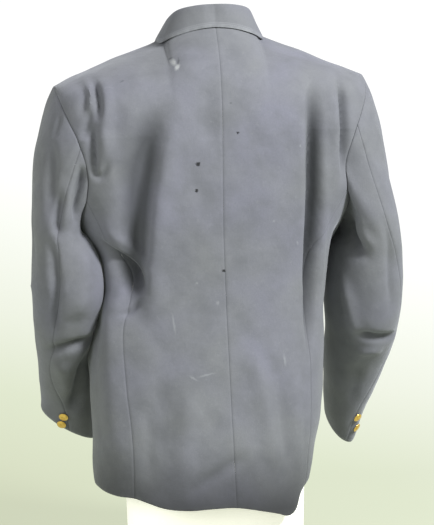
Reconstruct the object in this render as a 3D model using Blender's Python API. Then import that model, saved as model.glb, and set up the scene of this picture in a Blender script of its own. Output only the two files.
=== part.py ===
"""Single-breasted uniform jacket worn by a limbless dress form.

Metres, +Z up. The jacket's front faces -Y, its back faces +Y, and the wearer's left is +X. The origin is the
centre of the form's flat foot. Every cloth piece is a thin wall. Its outer points come from one garment surface,
so neighbouring panels share their seams and stand a seam gap apart, and what lies on a panel is made from the
panel's points, moved out.
"""
import bpy
import numpy as np

WALL = 0.0020           # cloth with its interlining
SEAM_GAP = 0.00045      # between two panels at a seam
ARMHOLE_GAP = 0.0013    # between the sleeve's head and the panels, whose edges bend at other places
LAYER_GAP = 0.0015      # between a panel and what lies on it
COLLECTION = "uniform_jacket_on_dress_form"

# Driving heights of the jacket, from the foot of the form.
PIT_HEIGHT = 0.514          # lowest point of the armhole
UNDERARM_HEIGHT = 0.550     # where the seams of the side panel run into the armhole
BLADE_HEIGHT = 0.640        # above this the back and the front lean in to the shoulder seam
SHOULDER_HEIGHT = 0.731
SHOULDER_HALF = 0.240       # centre line to the shoulder point
NECK_HEIGHT = 0.806         # neck seam at the centre back
NECK_SIDE_HEIGHT = 0.801
NECK_HALF = 0.072           # centre line to the side of the neck seam
NECK_ROUND = 0.90           # depth of the back neck seam over its half width
RIDGE_ROUNDING = 2.7        # how late the back and the front turn over to the shoulder seam, at the neck
PAD_ROUNDING = 2.6          # and how much later over the shoulder pads

# The jacket hangs askew: its left shoulder is lower than the right, and the slope dies out towards the hem.
TILT = 0.040
TILT_FADES = (0.26, 0.50)

# Rings of the body, from X = 0 to each side and from Y = 0 to the back and the front.
BODY_COLUMNS = ("height", "left", "right", "back", "front", "corner")
BODY_RINGS = (
    (0.070, 0.184, 0.132, 0.128, 0.134, 2.7),
    (0.130, 0.186, 0.144, 0.125, 0.131, 2.6),
    (0.190, 0.187, 0.157, 0.121, 0.129, 2.6),
    (0.260, 0.189, 0.167, 0.114, 0.125, 2.6),
    (0.330, 0.187, 0.171, 0.108, 0.121, 2.6),
    (0.385, 0.176, 0.171, 0.106, 0.121, 2.6),
    (0.425, 0.169, 0.175, 0.107, 0.122, 2.6),
    (0.470, 0.180, 0.186, 0.110, 0.125, 2.6),
    (0.514, 0.206, 0.204, 0.115, 0.129, 2.7),
    (0.550, 0.222, 0.222, 0.118, 0.131, 2.8),
    (0.600, 0.233, 0.233, 0.121, 0.132, 3.0),
    (0.640, 0.241, 0.241, 0.122, 0.132, 3.3),
)

# Seams of the body by their X at each height.
SEAM_COLUMNS = ("height", "centre_back", "back_left", "back_right", "front_left", "front_right")
SEAM_LINES = (
    (0.070, -0.0145, 0.1355, -0.1200, 0.158, -0.115),
    (0.182, -0.0110, 0.1357, -0.1330, 0.160, -0.136),
    (0.275, -0.0085, 0.1430, -0.1370, 0.163, -0.146),
    (0.350, -0.0065, 0.1450, -0.1375, 0.158, -0.149),
    (0.426, -0.0040, 0.1380, -0.1420, 0.138, -0.153),
    (0.470, -0.0025, 0.1560, -0.1500, 0.158, -0.163),
    (0.510, -0.0015, 0.1760, -0.1740, 0.180, -0.180),
    (0.550, -0.0010, 0.1970, -0.1970, 0.197, -0.197),
)

# The armhole's edge by its X at each height, the same on the back and the front.
ARMHOLE_COLUMNS = ("height", "edge")
ARMHOLE_EDGE = (
    (0.550, 0.197),
    (0.580, 0.195),
    (0.610, 0.200),
    (0.640, 0.210),
    (0.670, 0.222),
    (0.700, 0.233),
    (0.731, 0.240),
)

# The shoulder seam's height at each distance from the centre line, on the left and the right.
SHOULDER_COLUMNS = ("x", "left", "right")
SHOULDER_LINE = (
    (0.072, 0.8010, 0.8010),
    (0.090, 0.7915, 0.7945),
    (0.120, 0.7805, 0.7820),
    (0.160, 0.7655, 0.7650),
    (0.200, 0.7505, 0.7485),
    (0.225, 0.7395, 0.7370),
    (0.240, 0.7310, 0.7310),
)

HEM_MIDDLE = 0.100          # the hem's angles are read on the ring at this height

# The hem's height round the body, by angle from the centre back, positive towards the wearer's left.
HEM_COLUMNS = ("angle", "height")
HEM_LINE = (
    (-180.0, 0.1020),
    (-120.0, 0.1100),
    (-90.0, 0.1190),
    (-72.0, 0.1190),
    (-62.0, 0.1155),
    (-55.0, 0.1070),
    (-51.5, 0.0965),
    (-49.0, 0.0830),
    (-46.0, 0.0755),
    (-41.0, 0.0720),
    (-34.0, 0.0765),
    (-25.0, 0.0815),
    (-6.0, 0.0890),
    (12.0, 0.0885),
    (25.0, 0.0870),
    (40.0, 0.0920),
    (46.0, 0.0980),
    (53.0, 0.1045),
    (62.0, 0.1065),
    (70.0, 0.1105),
    (80.0, 0.1165),
    (90.0, 0.1190),
    (120.0, 0.1120),
    (180.0, 0.1020),
)

# Largest folds of the body. Each runs through three places on its face: X and height on the back and the front, and
# on a ring the angle from the centre back towards the left, with the height. The widths lie towards the wearer's
# right and left of the line, and on a ring towards smaller and larger angles. Depth is inwards, and a ridge negative.
FOLD_COLUMNS = ("face", "start", "middle", "end", "right_width", "left_width", "depth")
BODY_FOLDS = (
    ("back", (-0.131, 0.745), (-0.1335, 0.520), (-0.1285, 0.280), 0.016, 0.012, 0.018),
    ("back", (-0.152, 0.720), (-0.156, 0.500), (-0.151, 0.280), 0.012, 0.012, -0.006),
    ("back", (0.088, 0.710), (0.125, 0.540), (0.125, 0.345), 0.022, 0.026, 0.018),
    ("back", (0.056, 0.700), (0.095, 0.520), (0.098, 0.350), 0.022, 0.015, -0.005),
    ("back", (0.150, 0.580), (0.163, 0.380), (0.160, 0.130), 0.020, 0.022, -0.008),
    ("back", (-0.183, 0.735), (-0.187, 0.650), (-0.189, 0.555), 0.011, 0.008, 0.009),
    ("back", (-0.168, 0.720), (-0.172, 0.640), (-0.172, 0.565), 0.010, 0.010, -0.004),
    ("back", (0.187, 0.745), (0.180, 0.702), (0.177, 0.660), 0.008, 0.010, 0.005),
    ("back", (0.190, 0.672), (0.188, 0.625), (0.187, 0.582), 0.008, 0.010, 0.006),
    ("back", (0.155, 0.700), (0.150, 0.630), (0.146, 0.550), 0.013, 0.013, 0.003),
    ("back", (0.085, 0.330), (0.092, 0.230), (0.088, 0.130), 0.020, 0.016, 0.004),
    ("back", (0.040, 0.310), (0.060, 0.190), (0.066, 0.090), 0.018, 0.018, -0.005),
    ("back", (-0.040, 0.350), (-0.062, 0.230), (-0.085, 0.110), 0.014, 0.016, -0.0045),
    ("back", (-0.078, 0.310), (-0.092, 0.210), (-0.098, 0.110), 0.012, 0.014, 0.0045),
    ("ring", (72.0, 0.505), (62.0, 0.455), (50.0, 0.412), 0.008, 0.018, 0.016),
    ("ring", (-70.0, 0.510), (-84.0, 0.465), (-92.0, 0.430), 0.016, 0.016, 0.007),
    ("front", (0.100, 0.580), (0.090, 0.480), (0.055, 0.410), 0.016, 0.016, 0.006),
    ("front", (-0.100, 0.580), (-0.095, 0.480), (-0.055, 0.410), 0.016, 0.016, 0.006),
    ("front", (0.125, 0.350), (0.120, 0.240), (0.115, 0.130), 0.018, 0.018, 0.007),
    ("front", (-0.115, 0.350), (-0.113, 0.240), (-0.105, 0.130), 0.018, 0.018, 0.007),
)
FOLD_FADE = 0.35            # share of a fold's line over which it rises from the flat cloth

# Front opening and lapels. The left front lies over the right one.
OVERLAP = 0.018             # each front past the centre line
OVERLAP_LIFT = 0.0016       # the left front lies out by this much and the right front in
OVERLAP_FADES = (0.030, 0.075)
ROLL_START_HEIGHT = 0.445   # the lapel turns back above this
GORGE_HEIGHT = 0.742        # where the collar meets the lapel on the roll line
LAPEL_POINT = (0.112, 0.700)    # X and height of the lapel's corner
LAPEL_BELLY = 0.16          # how far the lapel's edge bows out
CORNER_CUT = 0.050          # rounding of the front corners at the hem
BUTTON_HEIGHTS = (0.415, 0.320, 0.225)

# Collar, by station from the centre back to its end on the front. The neck seam runs from the centre back to the
# side of the neck at station 1 and down the roll line to the gorge at station 2.
COLLAR_COLUMNS = ("station", "stand", "lean", "fall_out", "fall_drop")
COLLAR_STATIONS = (
    (0.00, 0.0292, 0.000, 0.0042, 0.0320),
    (0.25, 0.0292, 0.001, 0.0080, 0.0345),
    (0.50, 0.0285, 0.004, 0.0155, 0.0385),
    (0.80, 0.0240, 0.010, 0.0220, 0.0364),
    (1.00, 0.0225, 0.012, 0.0225, 0.0262),
    (1.30, 0.0150, 0.008, 0.0310, 0.0218),
    (1.70, 0.0070, 0.002, 0.0345, 0.0138),
    (2.00, 0.0040, 0.000, 0.0345, 0.0118),
)

# Arms below the armpit: centre of each ring, half sizes across and from back to front, its turn inwards, the angle
# of the hindarm seam from outwards towards the back, and how steeply the ring is raised outwards and behind.
ARM_COLUMNS = ("x", "y", "height", "across", "deep", "turn", "hindarm", "slant", "rise")
ARM_RINGS = {
    "left": (
        (0.2355, 0.006, 0.470, 0.0410, 0.074, -5.0, 80.0, 0.0, 0.0),
        (0.2265, 0.016, 0.425, 0.0510, 0.064, -16.0, 61.0, 0.0, 0.0),
        (0.2270, 0.008, 0.390, 0.0480, 0.059, -16.0, 54.0, 0.0, 0.0),
        (0.2288, -0.009, 0.355, 0.0430, 0.056, -15.0, 53.0, 0.0, 0.0),
        (0.2282, -0.048, 0.315, 0.0400, 0.053, -3.0, 62.0, 0.0, 0.0),
        (0.2170, -0.104, 0.260, 0.0435, 0.049, 14.0, 89.0, 0.30, 0.25),
        (0.2120, -0.150, 0.201, 0.0460, 0.046, 18.0, 104.0, 0.60, 0.52),
    ),
    "right": (
        (0.2400, -0.004, 0.470, 0.0460, 0.073, 26.0, 86.0, 0.0, 0.0),
        (0.2400, -0.012, 0.425, 0.0520, 0.068, 30.0, 74.0, 0.0, 0.0),
        (0.2415, -0.026, 0.385, 0.0535, 0.066, 30.0, 64.0, 0.0, 0.0),
        (0.2440, -0.052, 0.345, 0.0520, 0.060, 26.0, 60.0, 0.0, 0.0),
        (0.2425, -0.088, 0.298, 0.0475, 0.053, 18.0, 68.0, 0.0, 0.0),
        (0.2375, -0.134, 0.240, 0.0350, 0.050, 8.0, 82.0, -0.20, 0.0),
        (0.2360, -0.178, 0.183, 0.0240, 0.049, 2.0, 88.0, -0.50, 0.0),
    ),
}
ARM_CORNER = 2.2
CAP_SHARE = 0.42            # of the way along the sleeve, where the cap ends at the first arm ring
CAP_OUT = 0.50              # how far out the cap leaves the armhole for each step down
HINDARM_START = {"left": 71.0, "right": 63.0}   # angle of the hindarm seam on the armhole
FOREARM_ANGLE = -92.0       # angle of the hidden seam at the front of the sleeve

# The armhole's height on the back and on the front for each angle of the sleeve's head, from its top to the underarm.
HEAD_COLUMNS = ("angle", "back_height", "front_height")
SLEEVE_HEAD = (
    (0.0, 0.7310, 0.7310),
    (20.0, 0.7200, 0.7200),
    (45.0, 0.6850, 0.6850),
    (75.0, 0.6200, 0.6300),
    (100.0, 0.5800, 0.5830),
    (120.0, 0.5500, 0.5500),
)

# Folds of the sleeves through three places: angle and share of the way down. The widths lie towards the front and
# the back of the line.
SLEEVE_FOLD_COLUMNS = ("arm", "start", "middle", "end", "front_width", "back_width", "depth")
SLEEVE_FOLDS = (
    ("left", (71.0, 0.150), (84.0, 0.280), (84.0, 0.440), 0.011, 0.011, 0.007),
    ("left", (80.0, 0.020), (94.0, 0.110), (114.0, 0.320), 0.011, 0.011, 0.007),
    ("left", (78.0, 0.370), (55.0, 0.557), (62.0, 0.700), 0.011, 0.011, 0.007),
    ("left", (104.0, 0.430), (95.0, 0.527), (86.0, 0.640), 0.018, 0.018, -0.007),
    ("left", (128.0, 0.280), (128.0, 0.500), (124.0, 0.720), 0.016, 0.014, -0.006),
    ("left", (35.0, 0.750), (82.0, 0.700), (135.0, 0.715), 0.012, 0.012, 0.010),
    ("left", (58.0, 0.730), (86.0, 0.800), (98.0, 0.900), 0.013, 0.013, -0.005),
    ("left", (123.0, 0.710), (116.0, 0.840), (106.0, 0.960), 0.012, 0.017, 0.008),
    ("left", (-60.0, 0.580), (-95.0, 0.640), (-130.0, 0.620), 0.012, 0.012, 0.008),
    ("right", (141.0, 0.080), (148.0, 0.270), (116.0, 0.470), 0.011, 0.020, 0.010),
    ("right", (170.0, 0.470), (152.0, 0.597), (127.0, 0.670), 0.012, 0.012, -0.005),
    ("right", (145.0, 0.650), (105.0, 0.667), (55.0, 0.700), 0.012, 0.012, 0.009),
    ("right", (125.0, 0.740), (112.0, 0.820), (104.0, 0.920), 0.012, 0.014, 0.004),
    ("right", (-60.0, 0.580), (-95.0, 0.630), (-130.0, 0.610), 0.012, 0.012, 0.008),
)

# Buttons: a shank, a flat back and a domed face.
FRONT_BUTTON_RADIUS = 0.0110
CUFF_BUTTON_RADIUS = 0.0074
BUTTON_SHANK = 0.0015
BUTTON_EDGE = 0.0008
BUTTON_DOME = 0.30          # height of the dome over the radius
BUTTON_SIDES = 18
CUFF_BUTTONS = {            # angle and share down the sleeve of the upper and the lower button
    "left": ((93.0, 0.960), (89.0, 0.988)),
    "right": ((79.0, 0.927), (74.0, 0.957)),
}
BUTTON_SEAT = 0.0005

# Dress form by rings: half width, half depths to the back and the front.
FORM_COLUMNS = ("height", "wide", "back", "front", "corner")
FORM_RINGS = (
    (0.000, 0.134, 0.092, 0.096, 2.3),
    (0.090, 0.137, 0.095, 0.098, 2.3),
    (0.200, 0.140, 0.095, 0.101, 2.3),
    (0.330, 0.131, 0.088, 0.098, 2.3),
    (0.420, 0.128, 0.087, 0.098, 2.3),
    (0.500, 0.148, 0.094, 0.106, 2.3),
    (0.580, 0.166, 0.101, 0.113, 2.4),
    (0.640, 0.174, 0.103, 0.112, 2.4),
    (0.690, 0.172, 0.098, 0.102, 2.4),
    (0.725, 0.164, 0.087, 0.086, 2.4),
)
FORM_NECK_RADIUS = 0.054
FORM_NECK_DEPTH = 0.0475
FORM_SHOULDER_ROUNDING = 1.1
FORM_NECK_HEIGHT = 0.822
FORM_SIDES = 40

# Rows and columns of the walls.
LOWER_ROWS = 16
ARMHOLE_ROW_HEIGHTS = (0.550, 0.580, 0.610)
TOP_ROWS = 6
BACK_COLUMNS = 12
FRONT_COLUMNS = 10
SIDE_COLUMNS = 6
LAPEL_GRID = (14, 5)
COLLAR_COLUMNS_HALF = 13
TOP_SLEEVE_COLUMNS = 12
UNDER_SLEEVE_COLUMNS = 10
SLEEVE_ROWS = 20


def table(names, rows):
    """The rows of a table as one array for each named column."""
    return dict(zip(names, np.array(rows, float).T))


def smooth(at, knots, values):
    """A cubic Hermite curve through the knots, with slopes from the neighbouring knots, level past the ends."""
    slope = np.gradient(values, knots)
    at = np.clip(at, knots[0], knots[-1])
    i = np.clip(np.searchsorted(knots, at, side="right") - 1, 0, len(knots) - 2)
    span = knots[i + 1] - knots[i]
    t = (at - knots[i]) / span
    rise = values[i] * (1 + 2 * t) * (1 - t) ** 2 + values[i + 1] * t * t * (3 - 2 * t)
    return rise + span * (slope[i] * t * (1 - t) ** 2 - slope[i + 1] * t * t * (1 - t))


def ease(at, low, high):
    """0 below low, 1 above high and an S curve between."""
    t = np.clip((np.asarray(at, float) - low) / (high - low), 0, 1)
    return t * t * (3 - 2 * t)


def unit(vectors):
    return vectors / np.maximum(np.linalg.norm(vectors, axis=-1, keepdims=True), 1e-12)


def side_name(side):
    return "left" if side > 0 else "right"


BODY = table(BODY_COLUMNS, BODY_RINGS)
SEAMS = table(SEAM_COLUMNS, SEAM_LINES)
ARMHOLE = table(ARMHOLE_COLUMNS, ARMHOLE_EDGE)
SHOULDER = table(SHOULDER_COLUMNS, SHOULDER_LINE)
HEM = table(HEM_COLUMNS, HEM_LINE)
COLLAR = table(COLLAR_COLUMNS, COLLAR_STATIONS)
HEAD = table(HEAD_COLUMNS, SLEEVE_HEAD)
FORM = table(FORM_COLUMNS, FORM_RINGS)
ARMS = {name: table(ARM_COLUMNS, rows) for name, rows in ARM_RINGS.items()}


def body_at(column, z):
    return smooth(z, BODY["height"], BODY[column])


def seam_x(name, z):
    return smooth(z, SEAMS["height"], SEAMS[name])


def armhole_x(z):
    return smooth(z, ARMHOLE["height"], ARMHOLE["edge"])


def hem_height(angle):
    return smooth(angle, HEM["angle"], HEM["height"])


def ridge_height(x):
    """Height of the neck seam and the shoulder seam over each X."""
    reach = np.abs(x)
    neck = NECK_SIDE_HEIGHT + (NECK_HEIGHT - NECK_SIDE_HEIGHT) * (1 - (reach / NECK_HALF) ** 2)
    left, right = (smooth(reach, SHOULDER["x"], SHOULDER[side]) for side in ("left", "right"))
    return np.where(reach < NECK_HALF, neck, np.where(x > 0, left, right))


def panel_point(x, z, back=True):
    """The back or the front over X and height: the ring's superellipse, turned over to the seam at the top."""
    x, z = np.broadcast_arrays(np.asarray(x, float), np.asarray(z, float))
    low = np.minimum(z, BLADE_HEIGHT)
    corner = body_at("corner", low)
    half = np.where(x > 0, body_at("left", low), body_at("right", low))
    share = np.clip(np.abs(x) / half, 0, 1) ** corner
    ring = (body_at("back", low) if back else -body_at("front", low)) * (1 - share) ** (1 / corner)
    top = np.clip((z - BLADE_HEIGHT) / (ridge_height(x) - BLADE_HEIGHT), 0, 1)
    rounding = RIDGE_ROUNDING + PAD_ROUNDING * (x / SHOULDER_HALF) ** 2
    reach = np.minimum(np.abs(x), NECK_HALF)
    seam = NECK_ROUND * np.sqrt(NECK_HALF ** 2 - reach ** 2) if back else np.zeros_like(x)
    return np.stack([x, seam + (ring - seam) * (1 - top ** rounding), z], axis=-1)


def front_point(x, z):
    return panel_point(x, z, back=False)


def ring_point(angle, z):
    """The body's ring in the direction of the angle, in degrees from the centre back towards the left."""
    angle, z = np.broadcast_arrays(np.radians(angle), np.asarray(z, float))
    side = np.where(np.sin(angle) > 0, body_at("left", z), body_at("right", z))
    depth = np.where(np.cos(angle) > 0, body_at("back", z), body_at("front", z))
    corner = body_at("corner", z)
    reach = (np.abs(np.sin(angle) / side) ** corner + np.abs(np.cos(angle) / depth) ** corner) ** (-1 / corner)
    return np.stack([reach * np.sin(angle), reach * np.cos(angle), z], axis=-1)


def angle_of(points):
    return np.degrees(np.arctan2(points[..., 0], points[..., 1]))


def three_places(places, steps):
    """A parabola through three places, as two arrays."""
    t = np.linspace(0, 1, steps)[:, None]
    start, middle, end = (np.array(place) for place in places)
    return (start * (1 - t) * (1 - 2 * t) + middle * 4 * t * (1 - t) + end * t * (2 * t - 1)).T


def body_fold_path(face, places, steps=9):
    """The fold's line on its face, and the direction in which its left width lies."""
    across, z = three_places(places, steps)
    if face in ("back", "front"):
        return panel_point(across, z, face == "back"), np.array([1.0, 0.0, 0.0])
    return ring_point(across, z), unit(ring_point(across[4] + 2, z[4]) - ring_point(across[4] - 2, z[4]))


def path_distance(points, path, across):
    """Distance of each point from a path, the share of the path at its nearest place, and whether the point lies
    on the side that the direction across points to."""
    best = np.full(points.shape[:-1], np.inf)
    along = np.zeros(points.shape[:-1])
    beyond = np.zeros(points.shape[:-1])
    for k in range(len(path) - 1):
        step = path[k + 1] - path[k]
        t = np.clip(((points - path[k]) @ step) / (step @ step), 0, 1)
        offset = points - path[k] - t[..., None] * step
        gap = np.linalg.norm(offset, axis=-1)
        nearer = gap < best
        best = np.where(nearer, gap, best)
        along = np.where(nearer, (k + t) / (len(path) - 1), along)
        beyond = np.where(nearer, offset @ across, beyond)
    return best, along, beyond > 0


def fold_depth(points, folds):
    """Depth of the folds at each point: a bell across each fold's line, with a width of its own on either side,
    that fades out towards both ends of the line."""
    total = np.zeros(points.shape[:-1])
    for path, across, near_width, far_width, depth in folds:
        gap, along, beyond = path_distance(points, path, across)
        width = np.where(beyond, far_width, near_width)
        total += depth * np.exp(-(gap / width) ** 2) * ease(along, 0, FOLD_FADE) * ease(1 - along, 0, FOLD_FADE)
    return total


def settle(points):
    """The tilt of the worn jacket: a shear that lowers the left side and lifts the right."""
    drop = TILT * ease(points[..., 2], *TILT_FADES) * points[..., 0]
    return points - drop[..., None] * np.array([0.0, 0.0, 1.0])


BODY_FOLD_PATHS = [(*body_fold_path(fold[0], fold[1:4]), *fold[4:]) for fold in BODY_FOLDS]
U_STEP = {panel_point: 0.001, front_point: 0.001, ring_point: 0.4}
V_STEP = 0.001


def normals_of(surface, u, v, du, dv, outward):
    """Unit normals of a surface by small steps along its two parameters, on the side of the outward vectors."""
    normal = unit(np.cross(surface(u + du, v) - surface(u - du, v), surface(u, v + dv) - surface(u, v - dv)))
    return normal * np.where((normal * outward).sum(-1) < 0, -1.0, 1.0)[..., None]


def body_surface(shape, u, v, lift=0.0):
    """Outer points and normals of the worn body: the smooth shape, its folds, and the tilt."""
    du = U_STEP[shape]

    def smooth_normals(a, b):
        base = shape(a, b)
        return normals_of(shape, a, b, du, -V_STEP, base * np.array([1.0, 1.0, 0.0]) + [0.0, 0.0, 0.02])

    def folded(a, b):
        base = shape(a, b)
        height = lift(a, b) if callable(lift) else lift
        return settle(base + smooth_normals(a, b) * (height - fold_depth(base, BODY_FOLD_PATHS))[..., None])

    here = folded(u, v)
    return here, normals_of(folded, u, v, du, V_STEP, smooth_normals(u, v))


def wall_faces(rows, columns, closed):
    """Faces of a wall's outer and inner grid and of the rims between them. The rims at both sides are split along
    the same diagonal, so that two panels keep their gap along a seam that twists."""
    index = np.arange(rows * columns).reshape(rows, columns)
    if closed:
        index = np.concatenate([index, index[:, :1]], axis=1)
    below = rows * columns
    a, b, c, d = index[:-1, :-1], index[:-1, 1:], index[1:, 1:], index[1:, :-1]
    faces = [np.stack([a, b, c, d], -1).reshape(-1, 4), np.stack([d, c, b, a], -1).reshape(-1, 4) + below]
    faces += [np.stack([q, p, p + below, q + below], -1)
              for p, q in ((index[0, :-1], index[0, 1:]), (index[-1, 1:], index[-1, :-1]))]
    if not closed:
        low, high = index[:-1], index[1:]
        faces.append(np.stack([high[:, 0], high[:, 0] + below, low[:, 0] + below, low[:, 0]], -1))
        faces.append(np.stack([high[:, -1], low[:, -1], low[:, -1] + below, high[:, -1] + below], -1))
    return np.concatenate(faces).tolist()


def wall(name, outer, normals, material, thickness=WALL, closed=False):
    """A cloth wall between the outer grid and the same grid moved in along its normals."""
    inner = outer - normals * thickness
    verts = np.concatenate([outer.reshape(-1, 3), inner.reshape(-1, 3)])
    return solid(name, verts, wall_faces(*outer.shape[:2], closed), material)


def solid(name, verts, faces, material, sharp=40.0):
    """A closed mesh object in the collection, its faces turned outwards."""
    mesh = bpy.data.meshes.new(name)
    mesh.from_pydata([tuple(v) for v in verts], [], faces)
    mesh.calc_loop_triangles()
    corners = np.array([[verts[i] for i in t.vertices] for t in mesh.loop_triangles])
    if np.einsum("ij,ij->i", corners[:, 0], np.cross(corners[:, 1], corners[:, 2])).sum() < 0:
        mesh.flip_normals()
    mesh.shade_smooth()
    mesh.set_sharp_from_angle(angle=np.radians(sharp))
    mesh.materials.append(material)
    obj = bpy.data.objects.new(name, mesh)
    PARTS.objects.link(obj)
    return obj


def finish(name, colour, roughness, metallic=0.0):
    material = bpy.data.materials.new(name)
    material.use_nodes = True
    shader = material.node_tree.nodes["Principled BSDF"]
    shader.inputs["Base Color"].default_value = (*colour, 1.0)
    shader.inputs["Roughness"].default_value = roughness
    shader.inputs["Metallic"].default_value = metallic
    return material


def panel_grid(hem, inner, outer, inner_top, columns):
    """X and height of a back or a front: rows up to the underarm, level rows to the blade, then rows that close on
    the shoulder seam. The functions inner and outer give the X of the panel's edges at a height."""
    k = np.linspace(0, 1, columns + 1)
    xs, zs = [], []
    for r in np.linspace(0, 1, LOWER_ROWS + 1)[:-1]:
        z = hem + (UNDERARM_HEIGHT - hem) * r
        xs.append(inner(z[0]) + (outer(z[-1]) - inner(z[0])) * k)
        zs.append(z)
    for height in ARMHOLE_ROW_HEIGHTS:
        xs.append(inner(height) + (outer(height) - inner(height)) * k)
        zs.append(np.full(columns + 1, height))
    end = inner(inner_top) + (outer(SHOULDER_HEIGHT) - inner(inner_top)) * k
    for r in np.linspace(0, 1, TOP_ROWS + 1):
        low = BLADE_HEIGHT + (inner_top - BLADE_HEIGHT) * r
        high = BLADE_HEIGHT + (SHOULDER_HEIGHT - BLADE_HEIGHT) * r
        xs.append(inner(low) + (outer(high) - inner(low)) * k)
        zs.append(BLADE_HEIGHT + (ridge_height(end) - BLADE_HEIGHT) * r)
    return np.array(xs), np.array(zs)


def outer_edge(side, seam):
    """X of a panel's outer edge: the seam to the side panel below the underarm, and the armhole above it."""
    name = f"{seam}_{side_name(side)}"

    def edge(z):
        return (seam_x(name, z) if z < UNDERARM_HEIGHT else side * armhole_x(z)) - side * SEAM_GAP / 2
    return edge


def close_shoulder(outer, normals, y):
    """Along the shoulder seam the wall's edge stands in one upright plane, so that back and front don't cross."""
    along_seam = np.abs(outer[-1, :, 0]) > NECK_HALF - 1e-4
    outer[-1, along_seam, 1] = y
    upright = normals[-1].copy()
    upright[:, 1] = 0
    normals[-1] = np.where(along_seam[:, None], unit(upright), normals[-1])


def build_back(side):
    """One half of the back, from the centre seam to the side seam and the armhole."""
    edge = outer_edge(side, "back")

    def centre(z):
        return seam_x("centre_back", z) + side * SEAM_GAP / 2

    k = np.linspace(0, 1, BACK_COLUMNS + 1)
    x_low = centre(HEM_MIDDLE) + (edge(HEM_MIDDLE) - centre(HEM_MIDDLE)) * k
    hem = hem_height(angle_of(panel_point(x_low, HEM_MIDDLE)))
    grid = panel_grid(hem, centre, edge, NECK_HEIGHT, BACK_COLUMNS)
    outer, normals = body_surface(panel_point, *grid)
    close_shoulder(outer, normals, SEAM_GAP / 2)
    return wall(f"back_{side_name(side)}", outer, normals, CLOTH)


def roll_line(side, z):
    """X of the front's inner edge: past the centre line below, up the roll line to the side of the neck above."""
    climb = np.clip((z - ROLL_START_HEIGHT) / (NECK_SIDE_HEIGHT - ROLL_START_HEIGHT), 0, 1)
    return side * (-OVERLAP + (NECK_HALF + OVERLAP) * climb)


def overlap_lift(side):
    """How far a front stands out, or in under the other, near the centre line."""
    def lift(x, z):
        near = 1 - ease(np.abs(x), *OVERLAP_FADES)
        low = 1 - ease(z, ROLL_START_HEIGHT + 0.05, ROLL_START_HEIGHT + 0.15)
        return side * OVERLAP_LIFT * near * low
    return lift


def build_front(side):
    """One front, from its opening edge and roll line to the side seam and the armhole."""
    edge = outer_edge(side, "front")

    def inner(z):
        return float(roll_line(side, z))

    k = np.linspace(0, 1, FRONT_COLUMNS + 1)
    x_low = inner(HEM_MIDDLE) + (edge(HEM_MIDDLE) - inner(HEM_MIDDLE)) * k
    hem = hem_height(angle_of(front_point(x_low, HEM_MIDDLE)))
    from_edge = np.abs(x_low - x_low[0])
    hem = hem + CORNER_CUT * np.clip(1 - from_edge / CORNER_CUT, 0, 1) ** 2
    grid = panel_grid(hem, inner, edge, NECK_SIDE_HEIGHT, FRONT_COLUMNS)
    outer, normals = body_surface(front_point, *grid, lift=overlap_lift(side))
    close_shoulder(outer, normals, -SEAM_GAP / 2)
    return wall(f"front_{side_name(side)}", outer, normals, CLOTH)


def underarm_height(k):
    """Height of the armhole over the side panel, straight between the panel's columns, from seam to seam."""
    columns = np.linspace(0, 1, SIDE_COLUMNS + 1)
    return UNDERARM_HEIGHT - (UNDERARM_HEIGHT - PIT_HEIGHT) * np.interp(k, columns, np.sin(np.pi * columns))


def build_side(side):
    """One side panel, from the seam to the back round to the seam to the front, hollowed at the top for the arm."""
    k = np.linspace(0, 1, SIDE_COLUMNS + 1)
    name = side_name(side)
    rows = []

    def seam_angles(z):
        back = angle_of(panel_point(seam_x(f"back_{name}", z) + side * SEAM_GAP / 2, z))
        front = angle_of(front_point(seam_x(f"front_{name}", z) + side * SEAM_GAP / 2, z))
        return back, front

    back, front = seam_angles(HEM_MIDDLE)
    hem = hem_height(back + (front - back) * k)
    top = underarm_height(k)
    for r in np.linspace(0, 1, LOWER_ROWS + 1):
        z = hem + (top - hem) * r
        back, front = seam_angles(z[0])[0], seam_angles(z[-1])[1]
        rows.append(((back + (front - back) * k), z))
    grid = np.array(rows).transpose(1, 0, 2)
    outer, normals = body_surface(ring_point, *grid)
    return wall(f"side_{name}", outer, normals, CLOTH)


def build_lapel(side):
    """A lapel folded back on its front, from the roll line to its edge, with the gorge along its top."""
    rows, columns = LAPEL_GRID
    r = np.linspace(0, 1, rows + 1)[:, None]
    k = np.linspace(0, 1, columns + 1)[None, :]
    z_roll = ROLL_START_HEIGHT + 0.004 + (GORGE_HEIGHT - ROLL_START_HEIGHT - 0.004) * r
    x_roll = roll_line(side, z_roll)
    if side < 0:
        x_roll = np.minimum(x_roll, roll_line(1, z_roll) - LAYER_GAP)
    belly = LAPEL_BELLY * np.sin(np.pi * np.clip(r, 0, 1) ** 0.8) * (1 - r)
    x_tip = side * LAPEL_POINT[0]
    x_edge = x_roll[0] + side * 0.004 + (x_tip - x_roll[0]) * (r + belly)
    z_edge = z_roll[0] + 0.002 + (LAPEL_POINT[1] - z_roll[0]) * r
    x = x_roll + (x_edge - x_roll) * k
    z = z_roll + (z_edge - z_roll) * k
    rise = overlap_lift(side)

    def lift(a, b):
        return rise(a, b) + LAYER_GAP + WALL

    outer, normals = body_surface(front_point, x, z, lift=lift)
    return wall(f"lapel_{side_name(side)}", outer, normals, CLOTH)


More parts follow.
